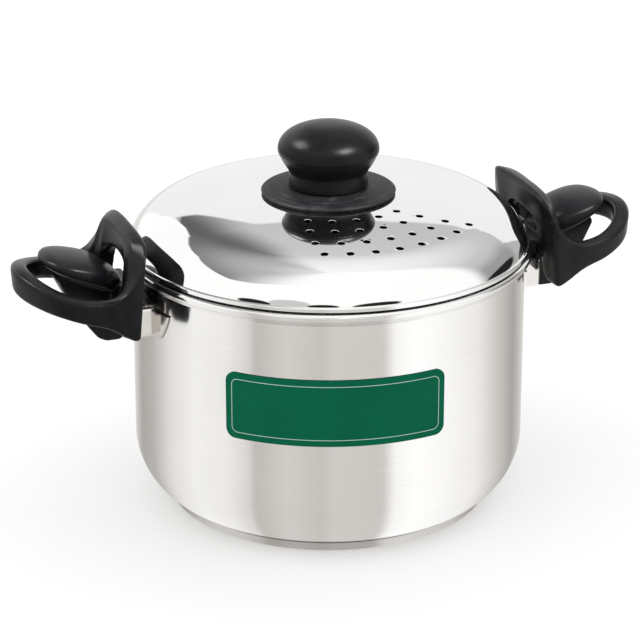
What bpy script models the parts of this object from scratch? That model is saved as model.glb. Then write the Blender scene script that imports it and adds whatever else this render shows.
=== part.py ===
"""Strainer pot: a deep steel pot with a perforated domed lid and two handles whose
grip rings swing on pins to hold the lid down while water is poured off.

Frame: metres, +Z up, origin on the table under the pot's axis, handles along X.
"""
from math import acos, asin, cos, pi, radians, sin, sqrt, tau

import bmesh
import bpy
from mathutils import Matrix, Vector

# Fit between touching pieces
GAP = 0.0003
BORE_CLEARANCE = 0.0003

# Pot
POT_RADIUS = 0.1000
POT_WALL = 0.0009
RIM_HEIGHT = 0.1340
CORNER_RADIUS = 0.0360
CORNER_TURN = radians(50)
HEEL_RADIUS = 0.0120
BEAD_OVERHANG = 0.0037
BEAD_HEIGHT = 0.0047
FLARE_HEIGHT = 0.0070

# Base sandwich
BASE_HEIGHT = 0.0046
CAP_RADIUS = 0.0825
CAP_WALL = 0.0006
CAP_EDGE_RADIUS = 0.0012

# Lid
LID_RISE = 0.0280
LID_SHEET = 0.0008
LID_OVERHANG = 0.0023
DOME_RADIUS = 0.4970
SHOULDER_START = 0.0800
EDGE_BAND_HEIGHT = 0.0030
EDGE_BAND_STEP = 0.0010
SKIRT_CLEARANCE = 0.0006
SKIRT_DEPTH = 0.0063

# Strainer holes
HOLE_RADIUS = 0.0019
HOLE_ROW_RADII = (0.0435, 0.0550, 0.0672, 0.0778)
HOLE_ROW_COUNTS = (5, 6, 7, 8)
HOLE_ROW_SPAN = radians(64.5)
HOLE_SECTOR_TURN = radians(-91.1)
HOLE_ROW_SKEW = radians(4.1)

# Knob
KNOB_RADIUS = 0.0256
KNOB_HEIGHT = 0.0319
KNOB_WIDEST = 0.0191
NECK_RADIUS = 0.0200
NECK_HEIGHT = 0.0078
COLLAR_RADIUS = 0.0340
COLLAR_EDGE = 0.0020
COLLAR_HEIGHT = 0.0025
INSERT_RADIUS = 0.0042
INSERT_LENGTH = 0.0140
KNOB_SCREW_RADIUS = 0.0025
KNOB_SCREW_HEAD_RADIUS = 0.0048
KNOB_SCREW_HEAD_HEIGHT = 0.0026
WASHER_RADIUS = 0.0080
WASHER_THICKNESS = 0.0010

# Handle bracket, measured out from the pot's wall and up from the rim
BRACKET_REACH = 0.0098
BRACKET_HALF_WIDTH = 0.0195
BRACKET_TOP = -0.0155
BRACKET_BOTTOM = -0.0315
BRACKET_SHEET = 0.0012
BRACKET_ROUNDING = 0.0022
FLANGE_RADIUS = 0.0345
FLANGE_CENTRE = -0.0080
FLANGE_INSET = 0.0012

# Fixed grip tongue
HUB_HALF_WIDTH = 0.0110
EAR_RADIUS = 0.0050
EAR_CLEARANCE = 0.0008
SADDLE_START = 0.0046
SADDLE_HALF_WIDTH = 0.0170
SADDLE_TOP = -0.0066
TONGUE_ROUNDING = 0.0014
SCREW_HEIGHT = -0.0248
SCREW_RADIUS = 0.0020
SCREW_HEAD_RADIUS = 0.0038
SCREW_HEAD_HEIGHT = 0.0026
SCREW_SEAT = 0.0190
NUT_RADIUS = 0.0040
NUT_THICKNESS = 0.0030

# Swinging grip ring
PIVOT_REACH = 0.0126
PIVOT_HEIGHT = -0.0101
PIN_RADIUS = 0.0020
PIN_BITE = 0.0105
RING_CENTRE = 0.0252
RING_RADIUS = 0.0391
RING_BAND = 0.0083
RING_DEPTH = 0.0133
RING_ROUNDING = 0.0026
ARCH_ROUNDING = 0.0029
RING_TOP = -0.0036
RING_END_LIFT = 0.0090
RING_SIDE_BOTTOM = -0.0180
WING_BOTTOM = -0.0254
WING_CLEARANCE = 0.0020
ARCH_REACH = 0.0029
ARCH_BACK = 0.0112
ARCH_TOP = 0.0230
ARCH_UNDERSIDE = 0.0070

# Front plate on the wall
PLATE_HALF_ANGLE = radians(31.9)
PLATE_TURN = radians(-107.4)
PLATE_BOTTOM = 0.0648
PLATE_TOP = 0.0994
PLATE_THICKNESS = 0.0003
PLATE_CORNER = 0.0050

# Facets round each turned piece
BODY_STEPS = 56
KNOB_STEPS = 40
SMALL_STEPS = 16

MERGE_DISTANCE = 0.00002
SHARP_ANGLE = radians(32)


def clear_scene():
    for item in list(bpy.data.objects):
        bpy.data.objects.remove(item, do_unlink=True)


def new_collection(name):
    collection = bpy.data.collections.new(name)
    bpy.context.scene.collection.children.link(collection)
    return collection


def make_material(name, colour, metallic, roughness):
    material = bpy.data.materials.new(name)
    material.use_nodes = True
    shader = material.node_tree.nodes["Principled BSDF"]
    shader.inputs["Base Color"].default_value = (*colour, 1.0)
    shader.inputs["Metallic"].default_value = metallic
    shader.inputs["Roughness"].default_value = roughness
    material.diffuse_color = (*colour, 1.0)
    return material


def add_object(name, mesh, collection, material=None):
    item = bpy.data.objects.new(name, mesh)
    collection.objects.link(item)
    if material:
        mesh.materials.append(material)
    return item


def add_cutter(name, mesh):
    item = add_object(name, mesh, CUTTERS)
    item.hide_render = True
    item.display_type = "WIRE"
    return item


def smooth(mesh):
    mesh.shade_smooth()
    mesh.set_sharp_from_angle(angle=SHARP_ANGLE)


def mesh_from_bmesh(name, shape):
    bmesh.ops.recalc_face_normals(shape, faces=shape.faces)
    mesh = bpy.data.meshes.new(name)
    shape.to_mesh(mesh)
    shape.free()
    smooth(mesh)
    return mesh


def profile_mesh(name, points, closed):
    count = len(points)
    edges = [(i, i + 1) for i in range(count - 1)]
    if closed:
        edges.append((count - 1, 0))
    mesh = bpy.data.meshes.new(name)
    mesh.from_pydata([(r, 0.0, z) for r, z in points], edges, [])
    return mesh


def spin(item, steps):
    """Turn a profile in the XZ plane about Z; at +X it runs down its outer side."""
    screw = item.modifiers.new("Turn", "SCREW")
    screw.axis = "Z"
    screw.steps = steps
    screw.render_steps = steps
    screw.use_merge_vertices = True
    screw.merge_threshold = MERGE_DISTANCE
    screw.use_smooth_shade = True
    return item


def turned(name, points, steps, material, closed=False):
    return spin(add_object(name, profile_mesh(name, points, closed), PARTS, material), steps)


def boolean(item, cutter, operation="DIFFERENCE"):
    modifier = item.modifiers.new(cutter.name, "BOOLEAN")
    modifier.operation = operation
    modifier.solver = "EXACT"
    modifier.object = cutter


def cylinder_mesh(name, radius, length, steps=SMALL_STEPS):
    shape = bmesh.new()
    bmesh.ops.create_cone(shape, cap_ends=True, segments=steps, radius1=radius, radius2=radius,
                          depth=length)
    return mesh_from_bmesh(name, shape)


def box_mesh(name, low, high, rounding=0.0, segments=3):
    low, high = Vector(low), Vector(high)
    shape = bmesh.new()
    bmesh.ops.create_cube(shape, size=1.0)
    size = high - low
    centre = (high + low) / 2
    bmesh.ops.transform(shape, verts=shape.verts,
                        matrix=Matrix.Translation(centre) @ Matrix.Diagonal((*size, 1.0)))
    if rounding:
        bmesh.ops.bevel(shape, geom=shape.edges[:], offset=rounding, segments=segments,
                        profile=0.5, affect="EDGES")
    return mesh_from_bmesh(name, shape)


def arc(centre, radius, start, end, steps):
    """Points on an arc; angles are from +X towards +Z."""
    turns = [start + (end - start) * i / steps for i in range(steps + 1)]
    return [(centre[0] + radius * cos(a), centre[1] + radius * sin(a)) for a in turns]


# Sizes that follow from the driving ones
CORNER_CENTRE = (POT_RADIUS - CORNER_RADIUS,
                 BASE_HEIGHT + HEEL_RADIUS + (CORNER_RADIUS - HEEL_RADIUS) * sin(CORNER_TURN))
HEEL_CENTRE = (CORNER_CENTRE[0] + (CORNER_RADIUS - HEEL_RADIUS) * cos(CORNER_TURN),
               CORNER_CENTRE[1] - (CORNER_RADIUS - HEEL_RADIUS) * sin(CORNER_TURN))
LID_SEAT = RIM_HEIGHT + GAP
LID_APEX = RIM_HEIGHT + LID_RISE
LID_RADIUS = POT_RADIUS + LID_OVERHANG
SKIRT_RADIUS = POT_RADIUS - POT_WALL - SKIRT_CLEARANCE
DOME_CENTRE_Z = LID_APEX - DOME_RADIUS
DOME_TURN = asin(SHOULDER_START / DOME_RADIUS)
SHOULDER_RADIUS = (LID_RADIUS - SHOULDER_START) / (1 - sin(DOME_TURN))
SHOULDER_CENTRE = (LID_RADIUS - SHOULDER_RADIUS,
                   DOME_CENTRE_Z + (DOME_RADIUS - SHOULDER_RADIUS) * cos(DOME_TURN))
KNOB_SEAT = LID_APEX + GAP + COLLAR_HEIGHT + GAP


def pot_wall_profile(inset):
    """The pot's corner and heel, from the wall down to the flat bottom."""
    corner = arc(CORNER_CENTRE, CORNER_RADIUS - inset, 0, -CORNER_TURN, 5)
    heel = arc(HEEL_CENTRE, HEEL_RADIUS - inset, -CORNER_TURN, -pi / 2, 3)
    return corner + heel[1:]


def build_pot():
    inner_radius = POT_RADIUS - POT_WALL
    flare_start = RIM_HEIGHT - FLARE_HEIGHT
    bead_radius = POT_RADIUS + BEAD_OVERHANG
    inside = [(0.0, BASE_HEIGHT + POT_WALL)] + pot_wall_profile(POT_WALL)[::-1]
    inside += [(inner_radius, flare_start), (inner_radius + 0.3 * BEAD_OVERHANG, RIM_HEIGHT - 0.0016)]
    bead = [(inner_radius + 0.55 * BEAD_OVERHANG, RIM_HEIGHT - 0.0003),
            (bead_radius - 0.0014, RIM_HEIGHT),
            (bead_radius - 0.0003, RIM_HEIGHT - 0.0008),
            (bead_radius, RIM_HEIGHT - 0.45 * BEAD_HEIGHT),
            (bead_radius - 0.0006, RIM_HEIGHT - 0.80 * BEAD_HEIGHT),
            (bead_radius - 0.0020, RIM_HEIGHT - BEAD_HEIGHT)]
    outside = [(POT_RADIUS, flare_start)] + pot_wall_profile(0.0) + [(0.0, BASE_HEIGHT)]
    turned("pot_body", inside + bead + outside, BODY_STEPS, STEEL)


def build_base():
    cup_radius = CAP_RADIUS - CAP_WALL
    cap_top = BASE_HEIGHT - GAP
    cap = [(0.0, CAP_WALL), (cup_radius - CAP_EDGE_RADIUS / 2, CAP_WALL),
           (cup_radius, CAP_WALL + CAP_EDGE_RADIUS / 2), (cup_radius, cap_top),
           (CAP_RADIUS, cap_top)]
    edge_centre = (CAP_RADIUS - CAP_EDGE_RADIUS, CAP_EDGE_RADIUS)
    cap += arc(edge_centre, CAP_EDGE_RADIUS, 0, -pi / 2, 2) + [(0.0, 0.0)]
    turned("base_cap", cap, BODY_STEPS, STEEL)
    core_radius = cup_radius - GAP
    core_bottom = CAP_WALL + GAP
    core = [(0.0, cap_top), (core_radius, cap_top), (core_radius, core_bottom + CAP_EDGE_RADIUS),
            (core_radius - CAP_EDGE_RADIUS, core_bottom), (0.0, core_bottom)]
    turned("base_core", core, BODY_STEPS, ALUMINIUM)


def dome_height(radius):
    """Height of the lid's dome above a circle round the pot's axis."""
    return DOME_CENTRE_Z + sqrt(DOME_RADIUS ** 2 - radius ** 2)


def lid_surface(inset):
    """Dome and shoulder, from the hub to the edge band, offset inwards by inset."""
    dome_steps = 5
    turns = [DOME_TURN * i / dome_steps for i in range(dome_steps + 1)]
    dome = [((DOME_RADIUS - inset) * sin(a), DOME_CENTRE_Z + (DOME_RADIUS - inset) * cos(a))
            for a in turns]
    radius = SHOULDER_RADIUS - inset
    if inset:
        end = acos((SKIRT_RADIUS - LID_SHEET - SHOULDER_CENTRE[0]) / radius)
    else:
        end = asin((LID_SEAT + EDGE_BAND_HEIGHT - SHOULDER_CENTRE[1]) / radius)
    shoulder = arc(SHOULDER_CENTRE, radius, pi / 2 - DOME_TURN, end, 6)
    return dome[1:] + shoulder[1:]


def build_lid():
    bore = KNOB_SCREW_RADIUS + BORE_CLEARANCE
    skirt_bottom = RIM_HEIGHT - SKIRT_DEPTH
    inside = [(bore, LID_APEX - LID_SHEET)] + lid_surface(LID_SHEET)
    inside.append((SKIRT_RADIUS - LID_SHEET, skirt_bottom))
    outside = [(bore, LID_APEX)] + lid_surface(0.0)
    band_top = LID_SEAT + EDGE_BAND_HEIGHT
    band = [(LID_RADIUS - 0.3 * EDGE_BAND_STEP, band_top),
            (LID_RADIUS, band_top - 0.7 * EDGE_BAND_STEP),
            (LID_RADIUS, LID_SEAT + 0.4 * EDGE_BAND_STEP),
            (LID_RADIUS - 0.4 * EDGE_BAND_STEP, LID_SEAT),
            (SKIRT_RADIUS, LID_SEAT), (SKIRT_RADIUS, skirt_bottom)]
    profile = outside + band + inside[::-1]
    lid = turned("lid_shell", profile, BODY_STEPS, STEEL, closed=True)
    boolean(lid, add_cutter("cut_strainer_holes", strainer_hole_mesh()))


def strainer_hole_mesh():
    shape = bmesh.new()
    for row, (radius, count) in enumerate(zip(HOLE_ROW_RADII, HOLE_ROW_COUNTS)):
        centre = HOLE_SECTOR_TURN + HOLE_ROW_SKEW * row
        for i in range(count):
            turn = centre + HOLE_ROW_SPAN * (i / (count - 1) - 0.5)
            place = Matrix.Translation((radius * cos(turn), radius * sin(turn), LID_APEX - 0.004))
            bmesh.ops.create_cone(shape, cap_ends=True, segments=10, radius1=HOLE_RADIUS,
                                  radius2=HOLE_RADIUS, depth=0.016, matrix=place)
    return mesh_from_bmesh("cut_strainer_holes", shape)


def knob_profile():
    """Mushroom head over a straight neck, with a blind bore for the insert."""
    widest = KNOB_SEAT + KNOB_WIDEST
    crown = KNOB_HEIGHT - KNOB_WIDEST
    top = [(KNOB_RADIUS * sin(a) ** 0.86, widest + crown * cos(a)) for a in
           [pi / 2 * i / 7 for i in range(8)]]
    neck_top = KNOB_SEAT + NECK_HEIGHT
    drop = widest - neck_top
    flank = [(KNOB_RADIUS - 0.0007, widest - 0.24 * drop),
             (KNOB_RADIUS - 0.0027, widest - 0.60 * drop),
             (NECK_RADIUS + 0.0008, neck_top + 0.12 * drop),
             (NECK_RADIUS, neck_top - 0.0008)]
    bore = INSERT_RADIUS + GAP
    bore_top = KNOB_SEAT + GAP + INSERT_LENGTH + GAP
    foot = [(NECK_RADIUS, KNOB_SEAT + 0.0004), (NECK_RADIUS - 0.0004, KNOB_SEAT),
            (bore, KNOB_SEAT), (bore, bore_top), (0.0, bore_top)]
    return top + flank + foot


def build_knob():
    turned("lid_knob", knob_profile(), KNOB_STEPS, BAKELITE)
    bore = KNOB_SCREW_RADIUS + BORE_CLEARANCE
    top = LID_APEX + GAP + COLLAR_HEIGHT
    under = dome_height(COLLAR_RADIUS) + GAP
    collar = [(bore, top), (NECK_RADIUS, top), (NECK_RADIUS + 0.0030, top - 0.0004),
              (COLLAR_RADIUS - 0.0008, under + COLLAR_EDGE), (COLLAR_RADIUS, under + 0.6 * COLLAR_EDGE)]
    seat_radii = [COLLAR_RADIUS - 0.0006, 0.75 * COLLAR_RADIUS, 0.5 * COLLAR_RADIUS, bore]
    collar += [(radius, dome_height(radius) + GAP) for radius in seat_radii]
    turned("knob_collar", collar, KNOB_STEPS, BAKELITE, closed=True)
    insert_bottom = KNOB_SEAT + GAP
    insert_top = insert_bottom + INSERT_LENGTH
    insert = [(bore, insert_top), (INSERT_RADIUS, insert_top), (INSERT_RADIUS, insert_bottom),
              (bore, insert_bottom)]
    turned("knob_insert", insert, SMALL_STEPS, BRASS, closed=True)
    washer_top = LID_APEX - LID_SHEET - GAP
    washer_bottom = washer_top - WASHER_THICKNESS
    washer = [(bore, washer_top), (WASHER_RADIUS, washer_top), (WASHER_RADIUS, washer_bottom),
              (bore, washer_bottom)]
    turned("knob_washer", washer, SMALL_STEPS * 2, STEEL, closed=True)
    head_top = washer_bottom - GAP
    head_bottom = head_top - KNOB_SCREW_HEAD_HEIGHT
    screw = [(0.0, insert_top), (KNOB_SCREW_RADIUS, insert_top), (KNOB_SCREW_RADIUS, head_top),
             (KNOB_SCREW_HEAD_RADIUS, head_top),
             (KNOB_SCREW_HEAD_RADIUS, head_top - 0.5 * KNOB_SCREW_HEAD_HEIGHT),
             (0.6 * KNOB_SCREW_HEAD_RADIUS, head_bottom), (0.0, head_bottom)]
    turned("knob_screw", screw, SMALL_STEPS, STEEL)


def place(item, parent, location=(0.0, 0.0, 0.0)):
    item.parent = parent
    item.location = location
    return item


def lay_along_y(item):
    item.rotation_euler = (pi / 2, 0.0, 0.0)
    return item


def lay_along_x(item):
    item.rotation_euler = (0.0, pi / 2, 0.0)
    return item


def wall_cutter(name, frame, offset):
    """The pot's own cylinder, larger by the offset, for what is welded to the wall."""
    mesh = cylinder_mesh(name, POT_RADIUS + offset, 0.2, BODY_STEPS * 2)
    return place(add_cutter(name, mesh), frame, (-POT_RADIUS, 0.0, 0.0))


def flange_outline():
    """Sideways and height of the bracket's wall flange, wide above and narrow below."""
    top = asin((BRACKET_TOP - FLANGE_INSET - FLANGE_CENTRE) / FLANGE_RADIUS)
    bottom = asin((BRACKET_BOTTOM + FLANGE_INSET - FLANGE_CENTRE) / FLANGE_RADIUS)
    right = arc((0.0, FLANGE_CENTRE), FLANGE_RADIUS, top, bottom, 5)
    return right + [(-across, height) for across, height in reversed(right)]


def build_bracket(side, frame):
    """A pressed steel cup, open to the wall, with a flange that follows the wall."""
    deep = -0.012
    mesh = box_mesh("bracket_" + side, (deep, -BRACKET_HALF_WIDTH, BRACKET_BOTTOM),
                    (BRACKET_REACH, BRACKET_HALF_WIDTH, BRACKET_TOP), BRACKET_ROUNDING)
    bracket = place(add_object("bracket_" + side, mesh, PARTS, STEEL), frame)
    flange_mesh = loft("flange_" + side, [[(reach, *point) for point in flange_outline()]
                                          for reach in (deep, -deep)], False)
    flange = place(add_cutter("flange_" + side, flange_mesh), frame)
    boolean(flange, wall_cutter("flange_skin_" + side, frame, GAP + BRACKET_SHEET), "INTERSECT")
    boolean(bracket, flange, "UNION")
    cavity_mesh = box_mesh("cut_cavity_" + side,
                           (2 * deep, -BRACKET_HALF_WIDTH + BRACKET_SHEET,
                            BRACKET_BOTTOM + BRACKET_SHEET),
                           (BRACKET_REACH - BRACKET_SHEET, BRACKET_HALF_WIDTH - BRACKET_SHEET,
                            BRACKET_TOP - BRACKET_SHEET), BRACKET_ROUNDING - BRACKET_SHEET, 1)
    boolean(bracket, place(add_cutter("cut_cavity_" + side, cavity_mesh), frame))
    boolean(bracket, wall_cutter("cut_wall_" + side, frame, GAP))
    hole = add_cutter("cut_bracket_hole_" + side,
                      cylinder_mesh("cut_bracket_hole_" + side, SCREW_RADIUS + BORE_CLEARANCE, 0.01))
    boolean(bracket, place(lay_along_x(hole), frame, (BRACKET_REACH, 0.0, SCREW_HEIGHT)))


def build_handle_screw(side, frame):
    """Screw from the tongue's recess into a nut held inside the bracket."""
    nut_outer = BRACKET_REACH - BRACKET_SHEET - GAP
    nut_inner = nut_outer - NUT_THICKNESS
    tip = nut_inner - 0.0005
    head_end = SCREW_SEAT + SCREW_HEAD_HEIGHT
    screw = [(0.0, head_end), (0.8 * SCREW_HEAD_RADIUS, head_end),
             (SCREW_HEAD_RADIUS, SCREW_SEAT + 0.6 * SCREW_HEAD_HEIGHT),
             (SCREW_HEAD_RADIUS, SCREW_SEAT + GAP), (SCREW_RADIUS, SCREW_SEAT + GAP),
             (SCREW_RADIUS, tip), (0.0, tip)]
    item = turned("handle_screw_" + side, screw, SMALL_STEPS, STEEL)
    place(lay_along_x(item), frame, (0.0, 0.0, SCREW_HEIGHT))
    bore = SCREW_RADIUS + BORE_CLEARANCE
    nut = [(bore, nut_outer), (NUT_RADIUS, nut_outer), (NUT_RADIUS, nut_inner), (bore, nut_inner)]
    item = turned("bracket_nut_" + side, nut, 6, STEEL, closed=True)
    place(lay_along_x(item), frame, (0.0, 0.0, SCREW_HEIGHT))


def loft(name, rings, closed):
    """Skin a run of equal point rings; an open run is capped at both ends."""
    shape = bmesh.new()
    loops = [[shape.verts.new(point) for point in ring] for ring in rings]
    count = len(loops[0])
    spans = len(loops) if closed else len(loops) - 1
    for i in range(spans):
        first, second = loops[i], loops[(i + 1) % len(loops)]
        for j in range(count):
            k = (j + 1) % count
            shape.faces.new((first[j], first[k], second[k], second[j]))
    if not closed:
        shape.faces.new(loops[0])
        shape.faces.new(loops[-1])
    return mesh_from_bmesh(name, shape)


def mm(*values):
    return tuple(value * 0.001 for value in values)


# Thumb plate sections: reach, half width, then edge, crown and underside heights, millimetres
CROWN_FLATNESS = 0.62
TONGUE_SECTIONS = (
    (11.5, 7.0, -6.0, -2.0, -9.5),
    (15.0, 12.0, -4.2, 1.6, -8.5),
    (19.5, 15.6, -2.4, 4.9, -7.5),
    (25.0, 17.6, 0.2, 8.0, -5.5),
    (31.5, 18.6, 2.8, 10.0, -2.5),
    (38.5, 18.2, 5.8, 11.1, 1.0),
    (44.5, 15.4, 7.9, 11.4, 4.0),
    (48.4, 10.0, 8.8, 11.0, 6.4),
    (50.2, 4.8, 9.2, 10.4, 7.6),
)

# Side view of hub and web, reach and height, millimetres; its two flat ends meet the bracket
HUB_OUTLINE = ((13.0, -34.5), (20.5, -34.5), (24.5, -32.5), (29.5, -26.0), (38.5, -11.5),
               (43.0, -2.5), (40.0, 4.0), (18.0, -4.5))
HUB_FACE = (-9.0, -31.0)


def tongue_ring(section):
    reach, half_width, edge, crown, under = mm(*section)
    points = []
    for i in range(16):
        turn = tau * i / 16
        lift = sin(turn)
        rise = (crown - edge) * lift ** CROWN_FLATNESS if lift > 0 else (under - edge) * abs(lift) ** 0.5
        points.append((reach, half_width * cos(turn), edge + rise))
    return points


def build_tongue(side, frame):
    """Fixed bakelite piece: hub against the bracket, web, ears for the pin, thumb plate."""
    shape = bmesh.new()
    face_reach = BRACKET_REACH + GAP
    outline = [mm(*point) for point in HUB_OUTLINE] + [(face_reach, *mm(height)) for height in HUB_FACE]
    face = shape.faces.new([shape.verts.new((reach, -HUB_HALF_WIDTH, height)) for reach, height in outline])
    sweep = bmesh.ops.extrude_face_region(shape, geom=[face])
    moved = [item for item in sweep["geom"] if isinstance(item, bmesh.types.BMVert)]
    bmesh.ops.translate(shape, verts=moved, vec=(0.0, 2 * HUB_HALF_WIDTH, 0.0))
    bmesh.ops.bevel(shape, geom=shape.edges[:], offset=TONGUE_ROUNDING, segments=2, profile=0.5,
                    affect="EDGES")
    mesh = mesh_from_bmesh("grip_tongue_" + side, shape)
    tongue = place(add_object("grip_tongue_" + side, mesh, PARTS, BAKELITE), frame)
    plate_mesh = loft("tongue_plate_" + side, [tongue_ring(s) for s in TONGUE_SECTIONS], False)
    boolean(tongue, place(add_cutter("tongue_plate_" + side, plate_mesh), frame), "UNION")
    saddle_mesh = box_mesh("tongue_saddle_" + side,
                           (SADDLE_START, -SADDLE_HALF_WIDTH, BRACKET_TOP + GAP),
                           (PIVOT_REACH, SADDLE_HALF_WIDTH, SADDLE_TOP), TONGUE_ROUNDING, 2)
    boolean(tongue, place(add_cutter("tongue_saddle_" + side, saddle_mesh), frame), "UNION")
    ear_length = 2 * (BRACKET_HALF_WIDTH + WING_CLEARANCE - EAR_CLEARANCE)
    ears = add_cutter("tongue_ears_" + side,
                      cylinder_mesh("tongue_ears_" + side, EAR_RADIUS, ear_length, 20))
    pivot = (PIVOT_REACH, 0.0, PIVOT_HEIGHT)
    boolean(tongue, place(lay_along_y(ears), frame, pivot), "UNION")
    bore = add_cutter("cut_tongue_bore_" + side,
                      cylinder_mesh("cut_tongue_bore_" + side, PIN_RADIUS + BORE_CLEARANCE, 0.08))
    boolean(tongue, place(lay_along_y(bore), frame, pivot))
    shank = add_cutter("cut_tongue_screw_" + side,
                       cylinder_mesh("cut_tongue_screw_" + side, SCREW_RADIUS + BORE_CLEARANCE, 0.04))
    boolean(tongue, place(lay_along_x(shank), frame, (SCREW_SEAT, 0.0, SCREW_HEIGHT)))
    recess_length = 0.03
    recess = add_cutter("cut_tongue_recess_" + side,
                        cylinder_mesh("cut_tongue_recess_" + side, SCREW_HEAD_RADIUS + GAP, recess_length))
    centre = (SCREW_SEAT + recess_length / 2, 0.0, SCREW_HEIGHT)
    boolean(tongue, place(lay_along_x(recess), frame, centre))


def grip_half_sections():
    """Corner points of the grip ring from its outer end round to the arch's middle.

    Each section is outer top, inner top, inner bottom, outer bottom, as reach, sideways
    and height. The ring's outer half is round; the wings and arch follow the rim.
    """
    inner_radius = RING_RADIUS - RING_BAND
    sections = []
    for degrees in (0, 22, 45, 67, 88):
        turn = radians(degrees)
        top = RING_TOP + RING_END_LIFT * cos(turn) ** 2
        end_drop = RING_TOP + RING_END_LIFT - RING_DEPTH - RING_SIDE_BOTTOM
        bottom = RING_SIDE_BOTTOM + end_drop * cos(turn)
        sections.append([
            (RING_CENTRE + RING_RADIUS * cos(turn), RING_RADIUS * sin(turn), top),
            (RING_CENTRE + inner_radius * cos(turn), inner_radius * sin(turn), top),
            (RING_CENTRE + (inner_radius + 0.0004) * cos(turn), (inner_radius + 0.0004) * sin(turn),
             bottom + 0.0010),
            (RING_CENTRE + (RING_RADIUS - 0.0008) * cos(turn), (RING_RADIUS - 0.0008) * sin(turn),
             bottom),
        ])
    front = ARCH_REACH
    back = ARCH_BACK
    side = RING_RADIUS
    cut = BRACKET_HALF_WIDTH + WING_CLEARANCE
    low = WING_BOTTOM
    high = ARCH_TOP
    sections += [
        [(0.0175, side, -0.0004), (0.0195, side - 0.0085, -0.0022), (0.0198, side - 0.0080, low + 0.0043),
         (0.0175, side - 0.0005, low + 0.0023)],
        [(0.0115, side - 0.0001, 0.0058), (0.0158, side - 0.0097, 0.0034),
         (0.0186, side - 0.0090, low + 0.0012), (0.0128, side - 0.0003, low + 0.0002)],
        [(0.0076, side - 0.0009, 0.0122), (0.0140, side - 0.0106, 0.0098), (0.0183, side - 0.0107, low),
         (0.0106, side - 0.0009, low)],
        [(front + 0.0032, side - 0.0035, high - 0.0060), (0.0126, side - 0.0118, high - 0.0086),
         (0.0181, cut + 0.0031, low), (0.0099, cut + 0.0100, low)],
        [(front + 0.0010, side - 0.0088, high - 0.0026), (back + 0.0006, side - 0.0144, high - 0.0048),
         (0.0180, cut + 0.0012, low + 0.0016), (0.0094, cut + 0.0040, low + 0.0010)],
        [(front + 0.0002, side - 0.0160, high - 0.0010), (back + 0.0001, side - 0.0184, high - 0.0028),
         (0.0172, cut, low + 0.0110), (0.0088, cut, low + 0.0090)],
        [(front, 0.0145, high - 0.0003), (back, 0.0140, high - 0.0019),
         (back + 0.0025, cut - 0.0002, ARCH_UNDERSIDE - 0.0080),
         (0.0070, cut - 0.0002, ARCH_UNDERSIDE - 0.0090)],
        [(front, 0.0070, high - 0.0001), (back, 0.0070, high - 0.0016),
         (back + 0.0006, 0.0140, ARCH_UNDERSIDE - 0.0010),
         (0.0056, 0.0140, ARCH_UNDERSIDE - 0.0010)],
        [(front, 0.0, high), (back, 0.0, high - 0.0016), (back, 0.0, ARCH_UNDERSIDE + 0.0010),
         (0.0050, 0.0, ARCH_UNDERSIDE + 0.0006)],
    ]
    return [[Vector(corner) for corner in section] for section in sections]


def between(before, start, end, after, share):
    """Catmull-Rom point between start and end."""
    a = 2 * start
    b = end - before
    c = 2 * before - 5 * start + 4 * end - after
    d = 3 * start - before - 3 * end + after
    return (a + b * share + c * share ** 2 + d * share ** 3) / 2


def mirrored(section):
    return [Vector((corner.x, -corner.y, corner.z)) for corner in section]


def rounded_section(corners, rounding):
    """Each corner of the four becomes three points on a small arc."""
    points = []
    for i in range(4):
        corner = corners[i]
        to_last = corners[i - 1] - corner
        to_next = corners[(i + 1) % 4] - corner
        cut_last = min(rounding, 0.45 * to_last.length)
        cut_next = min(rounding, 0.45 * to_next.length)
        start = corner + to_last.normalized() * cut_last
        end = corner + to_next.normalized() * cut_next
        points += [start, corner * 0.5 + (start + end) * 0.25, end]
    return points


def grip_ring_mesh(name):
    """The closed loft of the ring, its wings and its arch, about the pivot."""
    half = grip_half_sections()
    loop = half + [mirrored(section) for section in half[-2:0:-1]]
    count = len(loop)
    pivot = Vector((PIVOT_REACH, 0.0, PIVOT_HEIGHT))
    rings = []
    for i in range(count):
        for share in (0.0, 0.5):
            corners = [between(loop[i - 1][j], loop[i][j], loop[(i + 1) % count][j],
                               loop[(i + 2) % count][j], share) - pivot for j in range(4)]
            arch_share = min(max(5.0 - abs(i + share - count / 2), 0.0) / 2, 1.0)
            rounding = RING_ROUNDING + (ARCH_ROUNDING - RING_ROUNDING) * arch_share
            rings.append(rounded_section(corners, rounding))
    return loft(name, rings, True)


def build_grip_ring(side, frame):
    name = "grip_ring_" + side
    ring = add_object(name, grip_ring_mesh(name), PARTS, BAKELITE)
    pivot = (PIVOT_REACH, 0.0, PIVOT_HEIGHT)
    place(ring, frame, pivot)
    inner = BRACKET_HALF_WIDTH + WING_CLEARANCE
    length = 2 * (inner + PIN_BITE + GAP)
    bore = add_cutter("cut_ring_bore_" + side,
                      cylinder_mesh("cut_ring_bore_" + side, PIN_RADIUS + BORE_CLEARANCE, length))
    boolean(ring, place(lay_along_y(bore), frame, pivot))


def build_pin(side, frame):
    length = 2 * (BRACKET_HALF_WIDTH + WING_CLEARANCE + PIN_BITE)
    mesh = cylinder_mesh("pivot_pin_" + side, PIN_RADIUS, length)
    pin = add_object("pivot_pin_" + side, mesh, PARTS, STEEL)
    place(lay_along_y(pin), frame, (PIVOT_REACH, 0.0, PIVOT_HEIGHT))


def build_handles():
    for side, turn in (("right", 0.0), ("left", pi)):
        frame = bpy.data.objects.new("handle_frame_" + side, None)
        PARTS.objects.link(frame)
        frame.location = (POT_RADIUS * cos(turn), POT_RADIUS * sin(turn), RIM_HEIGHT)
        frame.rotation_euler = (0.0, 0.0, turn)
        build_bracket(side, frame)
        build_tongue(side, frame)
        build_handle_screw(side, frame)
        build_grip_ring(side, frame)
        build_pin(side, frame)


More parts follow.
